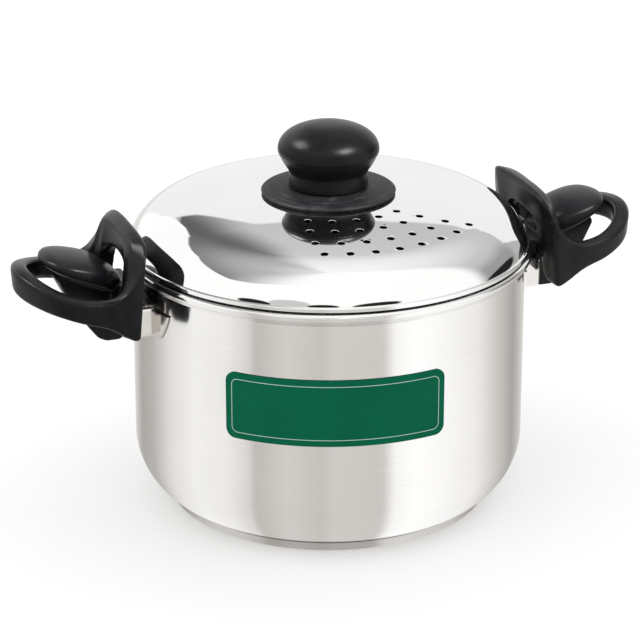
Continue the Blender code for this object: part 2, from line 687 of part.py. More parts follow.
def build_front_plate():
    """Thin rounded plate wrapped on the wall, facing the front."""
    inner = POT_RADIUS + GAP
    outer = inner + PLATE_THICKNESS
    corner_angle = PLATE_CORNER / inner
    straight = PLATE_HALF_ANGLE - corner_angle
    corner = [(straight + corner_angle * cos(a), PLATE_CORNER * (1 - sin(a)))
              for a in [pi / 2 * i / 5 for i in range(6)]]
    columns = [(-turn, trim) for turn, trim in corner]
    columns += [(straight * (i / 8 - 1), 0.0) for i in range(1, 16)]
    columns += corner[::-1]
    rings = []
    for turn, trim in columns:
        low, high = PLATE_BOTTOM + trim, PLATE_TOP - trim
        angle = PLATE_TURN + turn
        rings.append([(radius * cos(angle), radius * sin(angle), height) for radius, height in
                      ((outer, low), (outer, high), (inner, high), (inner, low))])
    mesh = loft("front_plate", rings, False)
    add_object("front_plate", mesh, PARTS, GREEN)


clear_scene()
PARTS = new_collection("strainer_pot")
CUTTERS = new_collection("cutters")
STEEL = make_material("polished_steel", (0.82, 0.80, 0.78), 1.0, 0.12)
ALUMINIUM = make_material("aluminium", (0.66, 0.66, 0.67), 1.0, 0.35)
BRASS = make_material("brass", (0.72, 0.55, 0.25), 1.0, 0.30)
BAKELITE = make_material("black_bakelite", (0.025, 0.026, 0.028), 0.0, 0.38)
GREEN = make_material("green_plate", (0.0, 0.11, 0.05), 0.0, 0.40)

build_pot()
build_base()
build_lid()
build_knob()
build_handles()
build_front_plate()
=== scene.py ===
"""Looks of the strainer pot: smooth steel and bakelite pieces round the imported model."""
from math import acos, asin, cos, pi, radians, sin, sqrt, tau

import bmesh
import bpy
from mathutils import Matrix, Vector


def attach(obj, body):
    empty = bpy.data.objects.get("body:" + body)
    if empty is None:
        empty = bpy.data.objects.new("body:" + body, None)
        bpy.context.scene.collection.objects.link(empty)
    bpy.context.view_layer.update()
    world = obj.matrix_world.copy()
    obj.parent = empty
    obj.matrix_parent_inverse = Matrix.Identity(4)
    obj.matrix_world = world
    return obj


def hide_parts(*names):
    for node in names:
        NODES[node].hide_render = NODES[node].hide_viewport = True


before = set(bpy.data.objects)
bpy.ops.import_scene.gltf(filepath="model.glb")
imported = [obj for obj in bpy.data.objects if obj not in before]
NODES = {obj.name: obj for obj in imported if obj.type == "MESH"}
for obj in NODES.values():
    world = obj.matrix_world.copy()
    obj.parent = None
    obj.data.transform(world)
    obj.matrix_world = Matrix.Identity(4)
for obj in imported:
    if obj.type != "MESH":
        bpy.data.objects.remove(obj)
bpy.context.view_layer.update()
MM = 0.001

# Camera, in millimetres and degrees, fitted to the photograph
CAMERA_DISTANCE = 1400.0
CAMERA_ELEVATION = 21.556
CAMERA_TURN = 19.5
CAMERA_AIM = (-4.264, 0.0, 91.152)
CAMERA_FOCAL = 2722.5
FRAME_PIXELS = 640.0
SENSOR = 36.0
CAMERA_CLIP = (0.05, 50.0)

# Pot and base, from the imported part
GAP = 0.0003
POT_RADIUS = 0.1000
POT_WALL = 0.0009
RIM_HEIGHT = 0.1340
CORNER_RADIUS = 0.0360
CORNER_TURN = radians(50)
HEEL_RADIUS = 0.0120
BEAD_OVERHANG = 0.0037
BEAD_HEIGHT = 0.0047
BEAD_EASE = 0.00003
FLARE_HEIGHT = 0.0070
FLARE_BLEND = 0.0040
BASE_HEIGHT = 0.0046
CAP_RADIUS = 0.0825
CAP_WALL = 0.0006
CAP_EDGE_RADIUS = 0.0012

# Lid
LID_RISE = 0.0280
LID_SHEET = 0.0008
LID_OVERHANG = 0.0023
DOME_RADIUS = 0.4970
SHOULDER_START = 0.0800
EDGE_BAND_HEIGHT = 0.0030
EDGE_BAND_STEP = 0.0010
SKIRT_CLEARANCE = 0.0006
SKIRT_DEPTH = 0.0063
LID_CURL = 0.0008
# Painted shade on the lid's rim: from this far below the seat up to the curl, for the shadow in the gap
# over the pot's bead
LID_PAINTED_SHADE_DROP = 0.0001
HOLE_RADIUS = 0.0019
HOLE_LIP = 0.0002
HOLE_REACH = 0.0060
PUNCH_DEPTH = 0.0040
PUNCH_FLARE = 1.4 * HOLE_LIP
PUNCH_LIFT = 0.00012
PUNCH_TOP = 0.0020
HOLE_ROW_RADII = (0.0435, 0.0550, 0.0672, 0.0778)
HOLE_ROW_COUNTS = (5, 6, 7, 8)
HOLE_ROW_SPAN = radians(64.5)
HOLE_SECTOR_TURN = radians(-91.1)
HOLE_ROW_SKEW = radians(4.1)

# Knob and collar
KNOB_RADIUS = 0.0256
KNOB_HEIGHT = 0.0319
KNOB_WIDEST = 0.0191
NECK_RADIUS = 0.0200
NECK_HEIGHT = 0.0078
COLLAR_RADIUS = 0.0340
COLLAR_EDGE = 0.0020
COLLAR_HEIGHT = 0.0025
INSERT_RADIUS = 0.0042
INSERT_LENGTH = 0.0140
KNOB_SCREW_RADIUS = 0.0025
BORE_CLEARANCE = 0.0003
KNOB_FULLNESS = 0.86
KNOB_FOOT_EDGE = 0.0004
COLLAR_RIM = 0.0010
# Mould seam under the knob's widest point: in from its radius, and down
KNOB_SEAM = ((0.00002, 0.0010), (0.00016, 0.00115), (0.00018, 0.00125), (0.00008, 0.0014))

# Handles, out from the wall, sideways, and up from the rim
BRACKET_REACH = 0.0098
BRACKET_HALF_WIDTH = 0.0195
BRACKET_TOP = -0.0155
HUB_HALF_WIDTH = 0.0110
EAR_RADIUS = 0.0050
EAR_CLEARANCE = 0.0008
SADDLE_START = 0.0046
SADDLE_HALF_WIDTH = 0.0170
SADDLE_TOP = -0.0066
TONGUE_ROUNDING = 0.0014
SCREW_HEIGHT = -0.0248
SCREW_RADIUS = 0.0020
SCREW_HEAD_RADIUS = 0.0038
SCREW_SEAT = 0.0190
SHANK_LENGTH = 0.0400
RECESS_LENGTH = 0.0300
EAR_BORE_LENGTH = 0.0800
PIVOT_REACH = 0.0126
PIVOT_HEIGHT = -0.0101
PIN_RADIUS = 0.0020
PIN_BITE = 0.0105
RING_CENTRE = 0.0252
RING_RADIUS = 0.0391
RING_BAND = 0.0083
RING_DEPTH = 0.0133
RING_ROUNDING = 0.0026
ARCH_ROUNDING = 0.0029
RING_TOP = -0.0036
RING_END_LIFT = 0.0090
RING_SIDE_BOTTOM = -0.0180
WING_BOTTOM = -0.0254
WING_CLEARANCE = 0.0020
ARCH_REACH = 0.0029
ARCH_BACK = 0.0112
ARCH_TOP = 0.0230
ARCH_UNDERSIDE = 0.0070
CROWN_FLATNESS = 0.62
TONGUE_VOXEL = 0.00055
RING_VOXEL = 0.0006
# Thumb plate: reach, half width, then edge, crown and underside heights, in millimetres
TONGUE_SECTIONS = (
    (11.5, 7.0, -6.0, -2.0, -9.5),
    (15.0, 12.0, -4.2, 1.6, -8.5),
    (19.5, 15.6, -2.4, 4.9, -7.5),
    (25.0, 17.6, 0.2, 8.0, -5.5),
    (31.5, 18.6, 2.8, 10.0, -2.5),
    (38.5, 18.2, 5.8, 11.1, 1.0),
    (44.5, 15.4, 7.9, 11.4, 4.0),
    (48.4, 10.0, 8.8, 11.0, 6.4),
    (50.2, 4.8, 9.2, 10.4, 7.6),
)
HUB_OUTLINE = ((13.0, -34.5), (20.5, -34.5), (24.5, -32.5), (29.5, -26.0), (38.5, -11.5),
               (43.0, -2.5), (40.0, 4.0), (18.0, -4.5))
HUB_FACE = (-9.0, -31.0)

# Front plate on the wall
PLATE_HALF_ANGLE = radians(31.9)
PLATE_TURN = radians(-107.4)
PLATE_BOTTOM = 0.0648
PLATE_TOP = 0.0994
PLATE_THICKNESS = 0.0003
PLATE_CORNER = 0.0050
PLATE_BEVEL = 0.00008
BORDER_INSET = 0.0032
BORDER_WIDTH = 0.0003
BORDER_CORNER = 0.0032

# Fineness of the visible pieces
BODY_STEPS = 256
CORNER_STEPS = 20
HEEL_STEPS = 12
LID_STEPS = 240
KNOB_STEPS = 160
CROWN_STEPS = 40
HOLE_STEPS = 28
THUMB_STEPS = 40
RING_STEPS = 7
PLATE_STEPS = 48
PLATE_CORNER_STEPS = 8
TOOL_STEPS = 48
SHARP_ANGLE = radians(34)
PLATE_ANGLE = radians(40)
MOULD_ANGLE = radians(50)
RING_ANGLE = radians(60)

# Materials
BAKELITE_GLOSS = 0.15
INK_GLOSS = 0.04
STEEL_TONE = (0.86, 0.851, 0.839)
# Near-black colour of painted shade, standing in for the shadow in the gap under the lid's rim
PAINTED_SHADE_TONE = (0.012, 0.011, 0.010, 1.0)
NOISE_SPREAD = (0.3, 0.7)
# Noise stretch round, up and outwards, for fine rings
LATHE_LINES = (1.5, 2600.0, 2600.0)
MOULD_LINES = (1.2, 900.0, 900.0)
WHITE = (1.0, 1.0, 1.0, 1.0)

# Studio as shiny surfaces see it, by direction. Bands below the horizon: turn from the
# photo's side in degrees, positive to its right, and brightness
LOW_BANDS = ((-180, 0.82), (-163, 0.78), (-143, 0.46), (-125, 0.54), (-104, 0.88), (-84, 1.04), (-62, 0.98),
             (-47, 0.80), (-43, 0.60), (-24, 0.74), (-4, 0.65), (3, 0.73), (32, 0.70), (39, 1.10),
             (52, 1.18), (76, 1.08), (96, 0.98), (116, 0.70), (138, 0.44), (160, 0.70), (180, 0.82))
# Edges of the studio's bright shapes, in degrees round from the back and above the horizon
BACKDROP_TOP = ((-60, 30), (-13, 27), (-10.8, 25), (-10.3, 22.8), (-9, 23.2), (-7, 26.8), (-5.5, 29),
                (-3, 29.2), (1, 28.6), (5, 28.6), (7, 27.8), (9.5, 27), (16, 29), (23, 30.8), (30, 30.1),
                (36, 28), (42, 24.6), (46, 19.5), (60, 8))
BACKDROP_RIGHT = ((-10, 30), (6, 40), (14, 44.8), (19.5, 46.4), (30, 46.6))
BOX_TOP = ((-180, 62), (-150, 58), (-138, 53), (-124, 47), (-109, 43), (-84, 45), (-60, 46), (-42, 42),
           (-30, 38.8), (-20, 34.8), (-15, 30.8), (-11.5, 27.4), (-10.7, 26), (-10.2, 22.5), (0, 22))
BOX_RIGHT = ((-10, 21), (7, 21.5), (14.5, 20.5), (20, 19.3), (22, 15.5), (24, 11.5), (26, 10.4), (40, 9))
GAP_RIGHT = ((20, 8.6), (30, 7.6), (37, 4.6), (44, 5.5), (50, 7.5), (59, 11), (66, 14), (77, 19), (90, 30))
# Brightness, in hundredths, against height above the horizon
CEILING_LIGHT = ((25, 58), (31, 61), (36, 64), (41, 71), (49, 81), (58, 92), (77, 101), (90, 106))
GAP_LIGHT = ((20, 13), (29, 14), (36, 17), (42, 22), (50, 32), (60, 45), (72, 55), (80, 72), (90, 95))
# Things in the room: turn from the photo's side, half width, height, half height, brightness
ROOM_SHAPES = ((-22, 12, 18, 8, 0.66), (-42, 10, 13.5, 5.2, 0.02), (-3, 9, 15.2, 4.4, 0.02),
               (27, 14, 14.2, 5.4, 0.02), (113, 15, 1, 6, 0.02))
# Soft edges, in degrees, from where a part of the studio has no share to where it is full
BACKDROP_TOP_EDGE = (-0.3, 0.5)
BACKDROP_RIGHT_EDGE = (-0.6, 1.2)
BOX_TOP_EDGE = (-0.5, 0.8)
BOX_RIGHT_EDGE = (1.0, -1.5)
SIDE_ROOM_TURNS = (45.0, 53.0)
SIDE_ROOM_HEIGHTS = (30.0, 14.0)
RIGHT_PANEL_TURNS = (78.0, 90.0)
GAP_SOFT_HEIGHTS = (34.0, 75.0)
GAP_END_TURNS = (-96.0, -158.0)
FRONT_TURNS = (30.0, 12.0)
FRONT_HEIGHTS = (80.0, 66.0)
FLOOR_HEIGHTS = (1.5, -3.5)
# Softness of the gap's right edge: at its foot, and what is added higher up, in degrees
GAP_SOFTNESS = (2.0, 9.0)
# Soft edge of the room's things, in shares of their half width and half height
SHAPE_EDGE = (1.12, 0.84)
# Brightness of the studio's plain parts
BACKDROP_LIGHT = 0.97
SIDE_ROOM_LIGHT = (0.52, 0.37)
PANEL_LIGHT = 1.12
BOX_LIGHT = 1.14
GAP_END_LIGHT = 1.1
WORLD_LIGHT = 1.0

# Floor and lamps
FLOOR_SIZE = 6.0
FLOOR_DROP = 0.0001
FLOOR_TONE = (0.93, 0.93, 0.93, 1.0)
FLOOR_GLOW = 0.17
LAMP_AIM = 0.09
# The lamps shine on the black mouldings alone
LAMP_PIECES = ("knob_head", "knob_plate", "tongue_right", "tongue_left", "ring_right", "ring_left")
# Name, turn from the photo's side and height in degrees, distance, width and depth, power
LAMPS = (("key", 52.0, 52.0, 1.3, (0.50, 0.40), 21.0),
         ("side", -105.0, 52.0, 1.3, (0.60, 0.40), 10.0))

# Derived places
LID_SEAT = RIM_HEIGHT + GAP
LID_APEX = RIM_HEIGHT + LID_RISE
LID_RADIUS = POT_RADIUS + LID_OVERHANG
SKIRT_RADIUS = POT_RADIUS - POT_WALL - SKIRT_CLEARANCE
DOME_CENTRE_Z = LID_APEX - DOME_RADIUS
DOME_TURN = asin(SHOULDER_START / DOME_RADIUS)
SHOULDER_RADIUS = (LID_RADIUS - SHOULDER_START) / (1 - sin(DOME_TURN))
SHOULDER_CENTRE = (LID_RADIUS - SHOULDER_RADIUS,
                   DOME_CENTRE_Z + (DOME_RADIUS - SHOULDER_RADIUS) * cos(DOME_TURN))
KNOB_SEAT = LID_APEX + GAP + COLLAR_HEIGHT + GAP
CORNER_CENTRE = (POT_RADIUS - CORNER_RADIUS,
                 BASE_HEIGHT + HEEL_RADIUS + (CORNER_RADIUS - HEEL_RADIUS) * sin(CORNER_TURN))
HEEL_CENTRE = (CORNER_CENTRE[0] + (CORNER_RADIUS - HEEL_RADIUS) * cos(CORNER_TURN),
               CORNER_CENTRE[1] - (CORNER_RADIUS - HEEL_RADIUS) * sin(CORNER_TURN))


# Mesh helpers
def placed(name, data):
    """A new object in the scene."""
    item = bpy.data.objects.new(name, data)
    bpy.context.scene.collection.objects.link(item)
    return item


def add_piece(name, mesh, body, slot, node, *materials):
    """A visible piece on a body, with its materials, standing for a CAD node. The slot argument is not
    used.
    """
    for material in materials:
        mesh.materials.append(material)
    item = placed(name, mesh)
    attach(item, body)
    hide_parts(node)


def finish_mesh(name, shape, angle=SHARP_ANGLE):
    """A smooth mesh whose edges sharper than the angle stay sharp."""
    bmesh.ops.recalc_face_normals(shape, faces=shape.faces)
    mesh = bpy.data.meshes.new(name)
    shape.to_mesh(mesh)
    shape.free()
    mesh.shade_smooth()
    mesh.set_sharp_from_angle(angle=angle)
    return mesh


def skin(shape, rings, closed=False):
    """Faces from each ring of corners to the next. A ring of one corner is a tip."""
    faces = []
    for first, second in zip(rings, rings[1:] + rings[:1] if closed else rings[1:]):
        count = max(len(first), len(second))
        for i in range(count):
            k = (i + 1) % count
            if len(first) == 1:
                corners = (first[0], second[i], second[k])
            elif len(second) == 1:
                corners = (first[i], first[k], second[0])
            else:
                corners = (first[i], first[k], second[k], second[i])
            faces.append(shape.faces.new(corners))
    return faces


def circle(radius, height, steps):
    """A level ring of points, or the one point on the axis."""
    if radius == 0.0:
        return [(0.0, 0.0, height)]
    return [(radius * cos(tau * i / steps), radius * sin(tau * i / steps), height)
            for i in range(steps)]


def lathe(name, profile, steps, closed=False, angle=SHARP_ANGLE):
    """A body of revolution about Z from (radius, height) points."""
    shape = bmesh.new()
    rings = [[shape.verts.new(point) for point in circle(radius, height, steps)]
             for radius, height in profile]
    skin(shape, rings, closed)
    return finish_mesh(name, shape, angle)


def arc(centre, radius, start, end, steps):
    turns = [start + (end - start) * i / steps for i in range(steps + 1)]
    return [(centre[0] + radius * cos(a), centre[1] + radius * sin(a)) for a in turns]


def between(before, start, end, after, share):
    """Catmull-Rom value, of numbers or vectors, between the middle two of four."""
    bend = 2 * before - 5 * start + 4 * end - after
    twist = 3 * start - before - 3 * end + after
    return (2 * start + (end - before) * share + bend * share ** 2 + twist * share ** 3) / 2


def flowing(points, steps):
    """Smooth curve through points."""
    out = []
    last = len(points) - 1
    for i in range(last):
        near = (points[max(i - 1, 0)], points[i], points[i + 1], points[min(i + 2, last)])
        for j in range(steps):
            out.append(tuple(between(*values, j / steps) for values in zip(*near)))
    return out + [tuple(points[-1])]


def loft(name, rings, closed, angle=SHARP_ANGLE):
    """A body through rings of points, its ends capped or joined."""
    shape = bmesh.new()
    loops = [[shape.verts.new(point) for point in ring] for ring in rings]
    skin(shape, loops, closed)
    if not closed:
        shape.faces.new(loops[0])
        shape.faces.new(loops[-1])
    return finish_mesh(name, shape, angle)


def cylinder(name, radius, length, axis, centre):
    """A cutter or union tool, along X or Y."""
    shape = bmesh.new()
    turn = Matrix.Rotation(pi / 2, 4, "Y" if axis == "X" else "X")
    bmesh.ops.create_cone(shape, cap_ends=True, segments=TOOL_STEPS, radius1=radius, radius2=radius,
                          depth=length, matrix=Matrix.Translation(centre) @ turn)
    return finish_mesh(name, shape)


def box(name, low, high, rounding, segments):
    low, high = Vector(low), Vector(high)
    shape = bmesh.new()
    bmesh.ops.create_cube(shape, size=1.0)
    bmesh.ops.transform(shape, verts=shape.verts, matrix=Matrix.Translation((high + low) / 2)
                        @ Matrix.Diagonal((*(high - low), 1.0)))
    bmesh.ops.bevel(shape, geom=shape.edges[:], offset=rounding, segments=segments, profile=0.5,
                    affect="EDGES")
    return finish_mesh(name, shape)


def evaluated(item):
    """The object's mesh with its modifiers applied; the object goes."""
    graph = bpy.context.evaluated_depsgraph_get()
    mesh = bpy.data.meshes.new_from_object(item.evaluated_get(graph), depsgraph=graph)
    mesh.name = item.data.name
    bpy.data.objects.remove(item)
    return mesh


def combined(mesh, tools):
    """The mesh after EXACT Booleans with (operation, tool mesh) pairs."""
    item = placed("work", mesh)
    helpers = []
    for operation, tool in tools:
        modifier = item.modifiers.new("cut", "BOOLEAN")
        modifier.operation = operation
        modifier.solver = "EXACT"
        modifier.object = placed("tool", tool)
        helpers.append(modifier.object)
    result = evaluated(item)
    for helper in helpers:
        bpy.data.objects.remove(helper)
    return result


def softened(mesh, voxel, rounds):
    """The mesh as one even skin with its creases eased, like a moulding."""
    item = placed("work", mesh)
    remesh = item.modifiers.new("blend", "REMESH")
    remesh.mode = "VOXEL"
    remesh.voxel_size = voxel
    smooth = item.modifiers.new("soften", "SMOOTH")
    smooth.factor = 0.5
    smooth.iterations = rounds
    return evaluated(item)


# Materials
class Nodes:
    """A short way to write the nodes of a material or of the world."""

    def __init__(self, owner):
        owner.use_nodes = True
        self.tree = owner.node_tree

    def feed(self, socket, value):
        if isinstance(value, bpy.types.NodeSocket):
            self.tree.links.new(value, socket)
        else:
            socket.default_value = value

    def node(self, kind, *values, settings=None, **named):
        """A shader node with inputs given in order or by name."""
        node = self.tree.nodes.new("ShaderNode" + kind)
        for key, value in (settings or {}).items():
            setattr(node, key, value)
        for socket, value in zip(node.inputs, values):
            self.feed(socket, value)
        for key, value in named.items():
            self.feed(node.inputs[key.replace("_", " ")], value)
        return node

    def math(self, operation, *values):
        return self.node("Math", *values, settings={"operation": operation}).outputs[0]

    def times(self, first, second):
        return self.math("MULTIPLY", first, second)

    def blend(self, share, first, second):
        """Two values mixed by a share."""
        rest = self.math("SUBTRACT", 1.0, share)
        return self.math("ADD", self.times(first, rest), self.times(second, share))

    def mix(self, share, first, second):
        """Two colours mixed by a share."""
        node = self.node("Mix", settings={"data_type": "RGBA"}, Factor=share, A=first, B=second)
        return node.outputs["Result"]

    def ramp(self, value, stops):
        node = self.node("ValToRGB", value)
        elements = node.color_ramp.elements
        while len(elements) < len(stops):
            elements.new(0.5)
        for element, (position, colour) in zip(elements, stops):
            element.position = position
            element.color = (*colour, 1.0)
        return node.outputs[0]


class Finish(Nodes):
    """The nodes of a material, round its shader."""

    def __init__(self, name, colour, metallic, roughness):
        self.material = bpy.data.materials.new(name)
        super().__init__(self.material)
        self.shader = self.tree.nodes["Principled BSDF"]
        self.put("Base Color", (*colour, 1.0))
        self.put("Metallic", metallic)
        self.put("Roughness", roughness)
        self.place = self.node("TexCoord").outputs["Object"]

    def put(self, socket, value):
        self.feed(self.shader.inputs[socket], value)

    def noise(self, scale, detail=3.0, vector=None, stretch=None, roughness=0.55):
        vector = vector or self.place
        if stretch:
            vector = self.node("Mapping", Vector=vector, Scale=stretch).outputs[0]
        return self.node("TexNoise", Vector=vector, Scale=scale, Detail=detail,
                         Roughness=roughness).outputs[0]

    def tint(self, noise, dark, light, low=0.35, high=0.65):
        return self.ramp(noise, ((low, dark), (high, light)))

    def roughen(self, noise, low, high):
        span = self.node("MapRange", Value=noise, From_Min=NOISE_SPREAD[0],
                         From_Max=NOISE_SPREAD[1], To_Min=low, To_Max=high)
        self.put("Roughness", span.outputs[0])

    def bump(self, height, strength, distance):
        node = self.node("Bump", Height=height, Strength=strength, Distance=distance)
        self.put("Normal", node.outputs[0])

    def with_painted_shade(self, colour, low, high):
        """The colour with painted shade: almost black between two heights, a band round the piece standing
        in for the shadow in a narrow gap.
        """
        height = self.node("SeparateXYZ", self.place).outputs[2]
        inside = self.times(self.math("GREATER_THAN", height, low),
                            self.math("LESS_THAN", height, high))
        return self.mix(inside, colour, PAINTED_SHADE_TONE)

    def around(self):
        """Turn about Z, height and radius, as one vector, for lathe lines."""
        x, y, z = self.node("SeparateXYZ", self.place).outputs
        radius = self.math("SQRT", self.math("ADD", self.math("POWER", x, 2.0),
                                             self.math("POWER", y, 2.0)))
        return self.node("CombineXYZ", self.math("ARCTAN2", y, x), z, radius).outputs[0]


def steel(name, tone, low, high, anisotropy, waviness, lines, painted_shade_heights=None):
    """Polished steel: faint lathe lines, slow colour and roughness drift, slight waviness, and, where two
    heights are given, a band of painted shade.
    """
    finish = Finish(name, tone, 1.0, (low + high) / 2)
    streaks = finish.noise(1.0, 4.0, finish.around(), LATHE_LINES)
    mixed = finish.blend(lines, finish.noise(14.0), streaks)
    finish.roughen(mixed, low, high)
    darker = tuple(channel * 0.955 for channel in tone)
    lighter = tuple(min(channel * 1.03, 0.97) for channel in tone)
    colour = finish.tint(mixed, darker, lighter)
    # painted shade: the colour goes almost black in a band between two heights
    if painted_shade_heights:
        colour = finish.with_painted_shade(colour, *painted_shade_heights)
    finish.put("Base Color", colour)
    finish.put("Anisotropic", anisotropy)
    finish.put("Anisotropic Rotation", 0.25)
    tangent = finish.node("Tangent", settings={"direction_type": "RADIAL", "axis": "Z"})
    finish.put("Tangent", tangent.outputs[0])
    finish.bump(finish.noise(9.0, 2.0), waviness, 0.0006)
    return finish.material


def plain_steel(name, tone, low, high, scale, dent):
    """Metal of the small pieces: uneven tone and roughness, and fine dents."""
    finish = Finish(name, tone, 1.0, (low + high) / 2)
    drift = finish.noise(scale, 4.0)
    finish.roughen(drift, low, high)
    finish.put("Base Color", finish.tint(drift, tuple(channel * 0.93 for channel in tone), tone))
    finish.bump(finish.noise(scale * 6.0, 2.0), dent, 0.0002)
    return finish.material


def bakelite(name, dark, light, low, high, grain, scale):
    """Moulded black plastic: satin, with cloudy sheen and a fine moulded grain."""
    finish = Finish(name, dark, 0.0, (low + high) / 2)
    finish.put("Specular IOR Level", BAKELITE_GLOSS)
    clouds = finish.noise(scale, 5.0, roughness=0.62)
    finish.put("Base Color", finish.tint(clouds, dark, light, 0.38, 0.66))
    finish.roughen(clouds, low, high)
    fine = finish.noise(scale * 28.0)
    soft = finish.noise(scale * 2.2, 2.0)
    finish.bump(finish.math("ADD", finish.times(fine, 0.35), soft), grain, 0.0003)
    return finish.material


def collar_bakelite():
    """Duller and greyer than the knob, with faint rings from its mould."""
    finish = Finish("collar_bakelite", (0.05, 0.05, 0.052), 0.0, 0.5)
    finish.put("Specular IOR Level", BAKELITE_GLOSS)
    rings = finish.noise(1.0, 4.0, finish.around(), MOULD_LINES)
    mixed = finish.blend(0.55, rings, finish.noise(55.0, 5.0, roughness=0.65))
    finish.put("Base Color", finish.ramp(mixed, ((0.38, (0.006, 0.0062, 0.0068)),
                                                 (0.52, (0.014, 0.0145, 0.0155)),
                                                 (0.66, (0.055, 0.056, 0.058)))))
    finish.roughen(mixed, 0.40, 0.58)
    finish.bump(mixed, 0.25, 0.0002)
    return finish.material


def ink(name, dark, light, roughness):
    """Printed colour with slight unevenness."""
    finish = Finish(name, dark, 0.0, roughness)
    finish.put("Specular IOR Level", INK_GLOSS)
    drift = finish.noise(60.0, 4.0)
    finish.put("Base Color", finish.tint(drift, dark, light))
    finish.roughen(drift, roughness - 0.05, roughness + 0.05)
    finish.bump(finish.noise(900.0, 2.0), 0.05, 0.0001)
    return finish.material


BODY_STEEL = steel("body_steel", STEEL_TONE, 0.11, 0.16, 0.75, 0.05, 0.55)
# The lid carries painted shade low on its rim, where the gap over the pot's bead is in shadow
LID_STEEL = steel("lid_steel", (0.88, 0.876, 0.870), 0.016, 0.030, 0.0, 0.02, 0.25,
                  (LID_SEAT - LID_PAINTED_SHADE_DROP, LID_SEAT + LID_CURL))
BASE_STEEL = steel("base_steel", (0.58, 0.566, 0.55), 0.14, 0.22, 0.4, 0.05, 0.5)
BRACKET_STEEL = plain_steel("bracket_steel", (0.80, 0.775, 0.745), 0.08, 0.16, 60.0, 0.03)
SCREW_STEEL = plain_steel("screw_steel", (0.62, 0.61, 0.60), 0.18, 0.30, 160.0, 0.10)
CORE_ALUMINIUM = plain_steel("core_aluminium", (0.66, 0.66, 0.67), 0.30, 0.42, 120.0, 0.12)
INSERT_BRASS = plain_steel("insert_brass", (0.72, 0.55, 0.25), 0.24, 0.36, 140.0, 0.10)
KNOB_BLACK = bakelite("knob_bakelite", (0.0024, 0.0025, 0.0028), (0.0062, 0.0064, 0.0071), 0.24, 0.34,
                      0.10, 38.0)
GRIP_BLACK = bakelite("grip_bakelite", (0.0030, 0.0032, 0.0037), (0.0080, 0.0085, 0.0096), 0.23, 0.33,
                      0.12, 42.0)
COLLAR_BLACK = collar_bakelite()
GREEN_INK = ink("green_ink", (0.0015, 0.108, 0.053), (0.0025, 0.122, 0.062), 0.38)
PALE_INK = ink("pale_ink", (0.52, 0.66, 0.58), (0.60, 0.73, 0.66), 0.42)


# Pot and base
def pot_corner(inset):
    """The rounded bottom corner as (radius, height), set in for the inside."""
    corner = arc(CORNER_CENTRE, CORNER_RADIUS - inset, 0, -CORNER_TURN, CORNER_STEPS)
    heel = arc(HEEL_CENTRE, HEEL_RADIUS - inset, -CORNER_TURN, -pi / 2, HEEL_STEPS)
    return corner + heel[1:]


def build_pot():
    inner_radius = POT_RADIUS - POT_WALL
    flare_start = RIM_HEIGHT - FLARE_HEIGHT
    bead_radius = POT_RADIUS + BEAD_OVERHANG - BEAD_EASE
    inside = [(0.0, BASE_HEIGHT + POT_WALL)] + pot_corner(POT_WALL)[::-1]
    inside += [(inner_radius, flare_start - FLARE_BLEND)]
    rim = flowing([(inner_radius, flare_start),
                   (inner_radius + 0.3 * BEAD_OVERHANG, RIM_HEIGHT - 0.0016),
                   (inner_radius + 0.55 * BEAD_OVERHANG, RIM_HEIGHT - 0.0003),
                   (bead_radius - 0.0014, RIM_HEIGHT),
                   (bead_radius - 0.0003, RIM_HEIGHT - 0.0008),
                   (bead_radius, RIM_HEIGHT - 0.45 * BEAD_HEIGHT),
                   (bead_radius - 0.0006, RIM_HEIGHT - 0.80 * BEAD_HEIGHT),
                   (bead_radius - 0.0020, RIM_HEIGHT - BEAD_HEIGHT),
                   (POT_RADIUS, flare_start)], 4)
    outside = [(POT_RADIUS, flare_start - FLARE_BLEND)] + pot_corner(0.0) + [(0.0, BASE_HEIGHT)]
    mesh = lathe("pot_shell", inside + rim + outside, BODY_STEPS)
    add_piece("pot_shell", mesh, "pot", "polished_steel", "pot_body", BODY_STEEL)


def build_base():
    cup_radius = CAP_RADIUS - CAP_WALL
    cap_top = BASE_HEIGHT - GAP
    fillet = CAP_EDGE_RADIUS / 2
    cap = [(0.0, CAP_WALL), (cup_radius - fillet, CAP_WALL)]
    cap += arc((cup_radius - fillet, CAP_WALL + fillet), fillet, -pi / 2, 0, 5)[1:]
    cap += [(cup_radius, cap_top), (CAP_RADIUS - 0.0002, cap_top), (CAP_RADIUS, cap_top - 0.0002)]
    cap += arc((CAP_RADIUS - CAP_EDGE_RADIUS, CAP_EDGE_RADIUS), CAP_EDGE_RADIUS, 0, -pi / 2, 8)
    cap += [(0.0, 0.0)]
    mesh = lathe("base_cup", cap, BODY_STEPS)
    add_piece("base_cup", mesh, "pot", "polished_steel", "base_cap", BASE_STEEL)


# Lid
def dome_height(radius):
    return DOME_CENTRE_Z + sqrt(DOME_RADIUS ** 2 - radius ** 2)


def lid_surface(inset, dome_steps, shoulder_steps):
    """Dome and shoulder as (radius, height), set in for the underside."""
    join = pi / 2 - DOME_TURN
    dome = arc((0.0, DOME_CENTRE_Z), DOME_RADIUS - inset, pi / 2, join, dome_steps)
    radius = SHOULDER_RADIUS - inset
    if inset:
        end = acos((SKIRT_RADIUS - LID_SHEET - SHOULDER_CENTRE[0]) / radius)
    else:
        end = asin((LID_SEAT + EDGE_BAND_HEIGHT - SHOULDER_CENTRE[1]) / radius)
    shoulder = arc(SHOULDER_CENTRE, radius, join, end, shoulder_steps)
    return dome[1:] + shoulder[1:]


def hole_places():
    """Point on the dome and outward direction of each strainer hole."""
    places = []
    for row, (radius, count) in enumerate(zip(HOLE_ROW_RADII, HOLE_ROW_COUNTS)):
        centre = HOLE_SECTOR_TURN + HOLE_ROW_SKEW * row
        for i in range(count):
            turn = centre + HOLE_ROW_SPAN * (i / (count - 1) - 0.5)
            point = Vector((radius * cos(turn), radius * sin(turn), dome_height(radius)))
            places.append((point, (point - Vector((0.0, 0.0, DOME_CENTRE_Z))).normalized()))
    return places


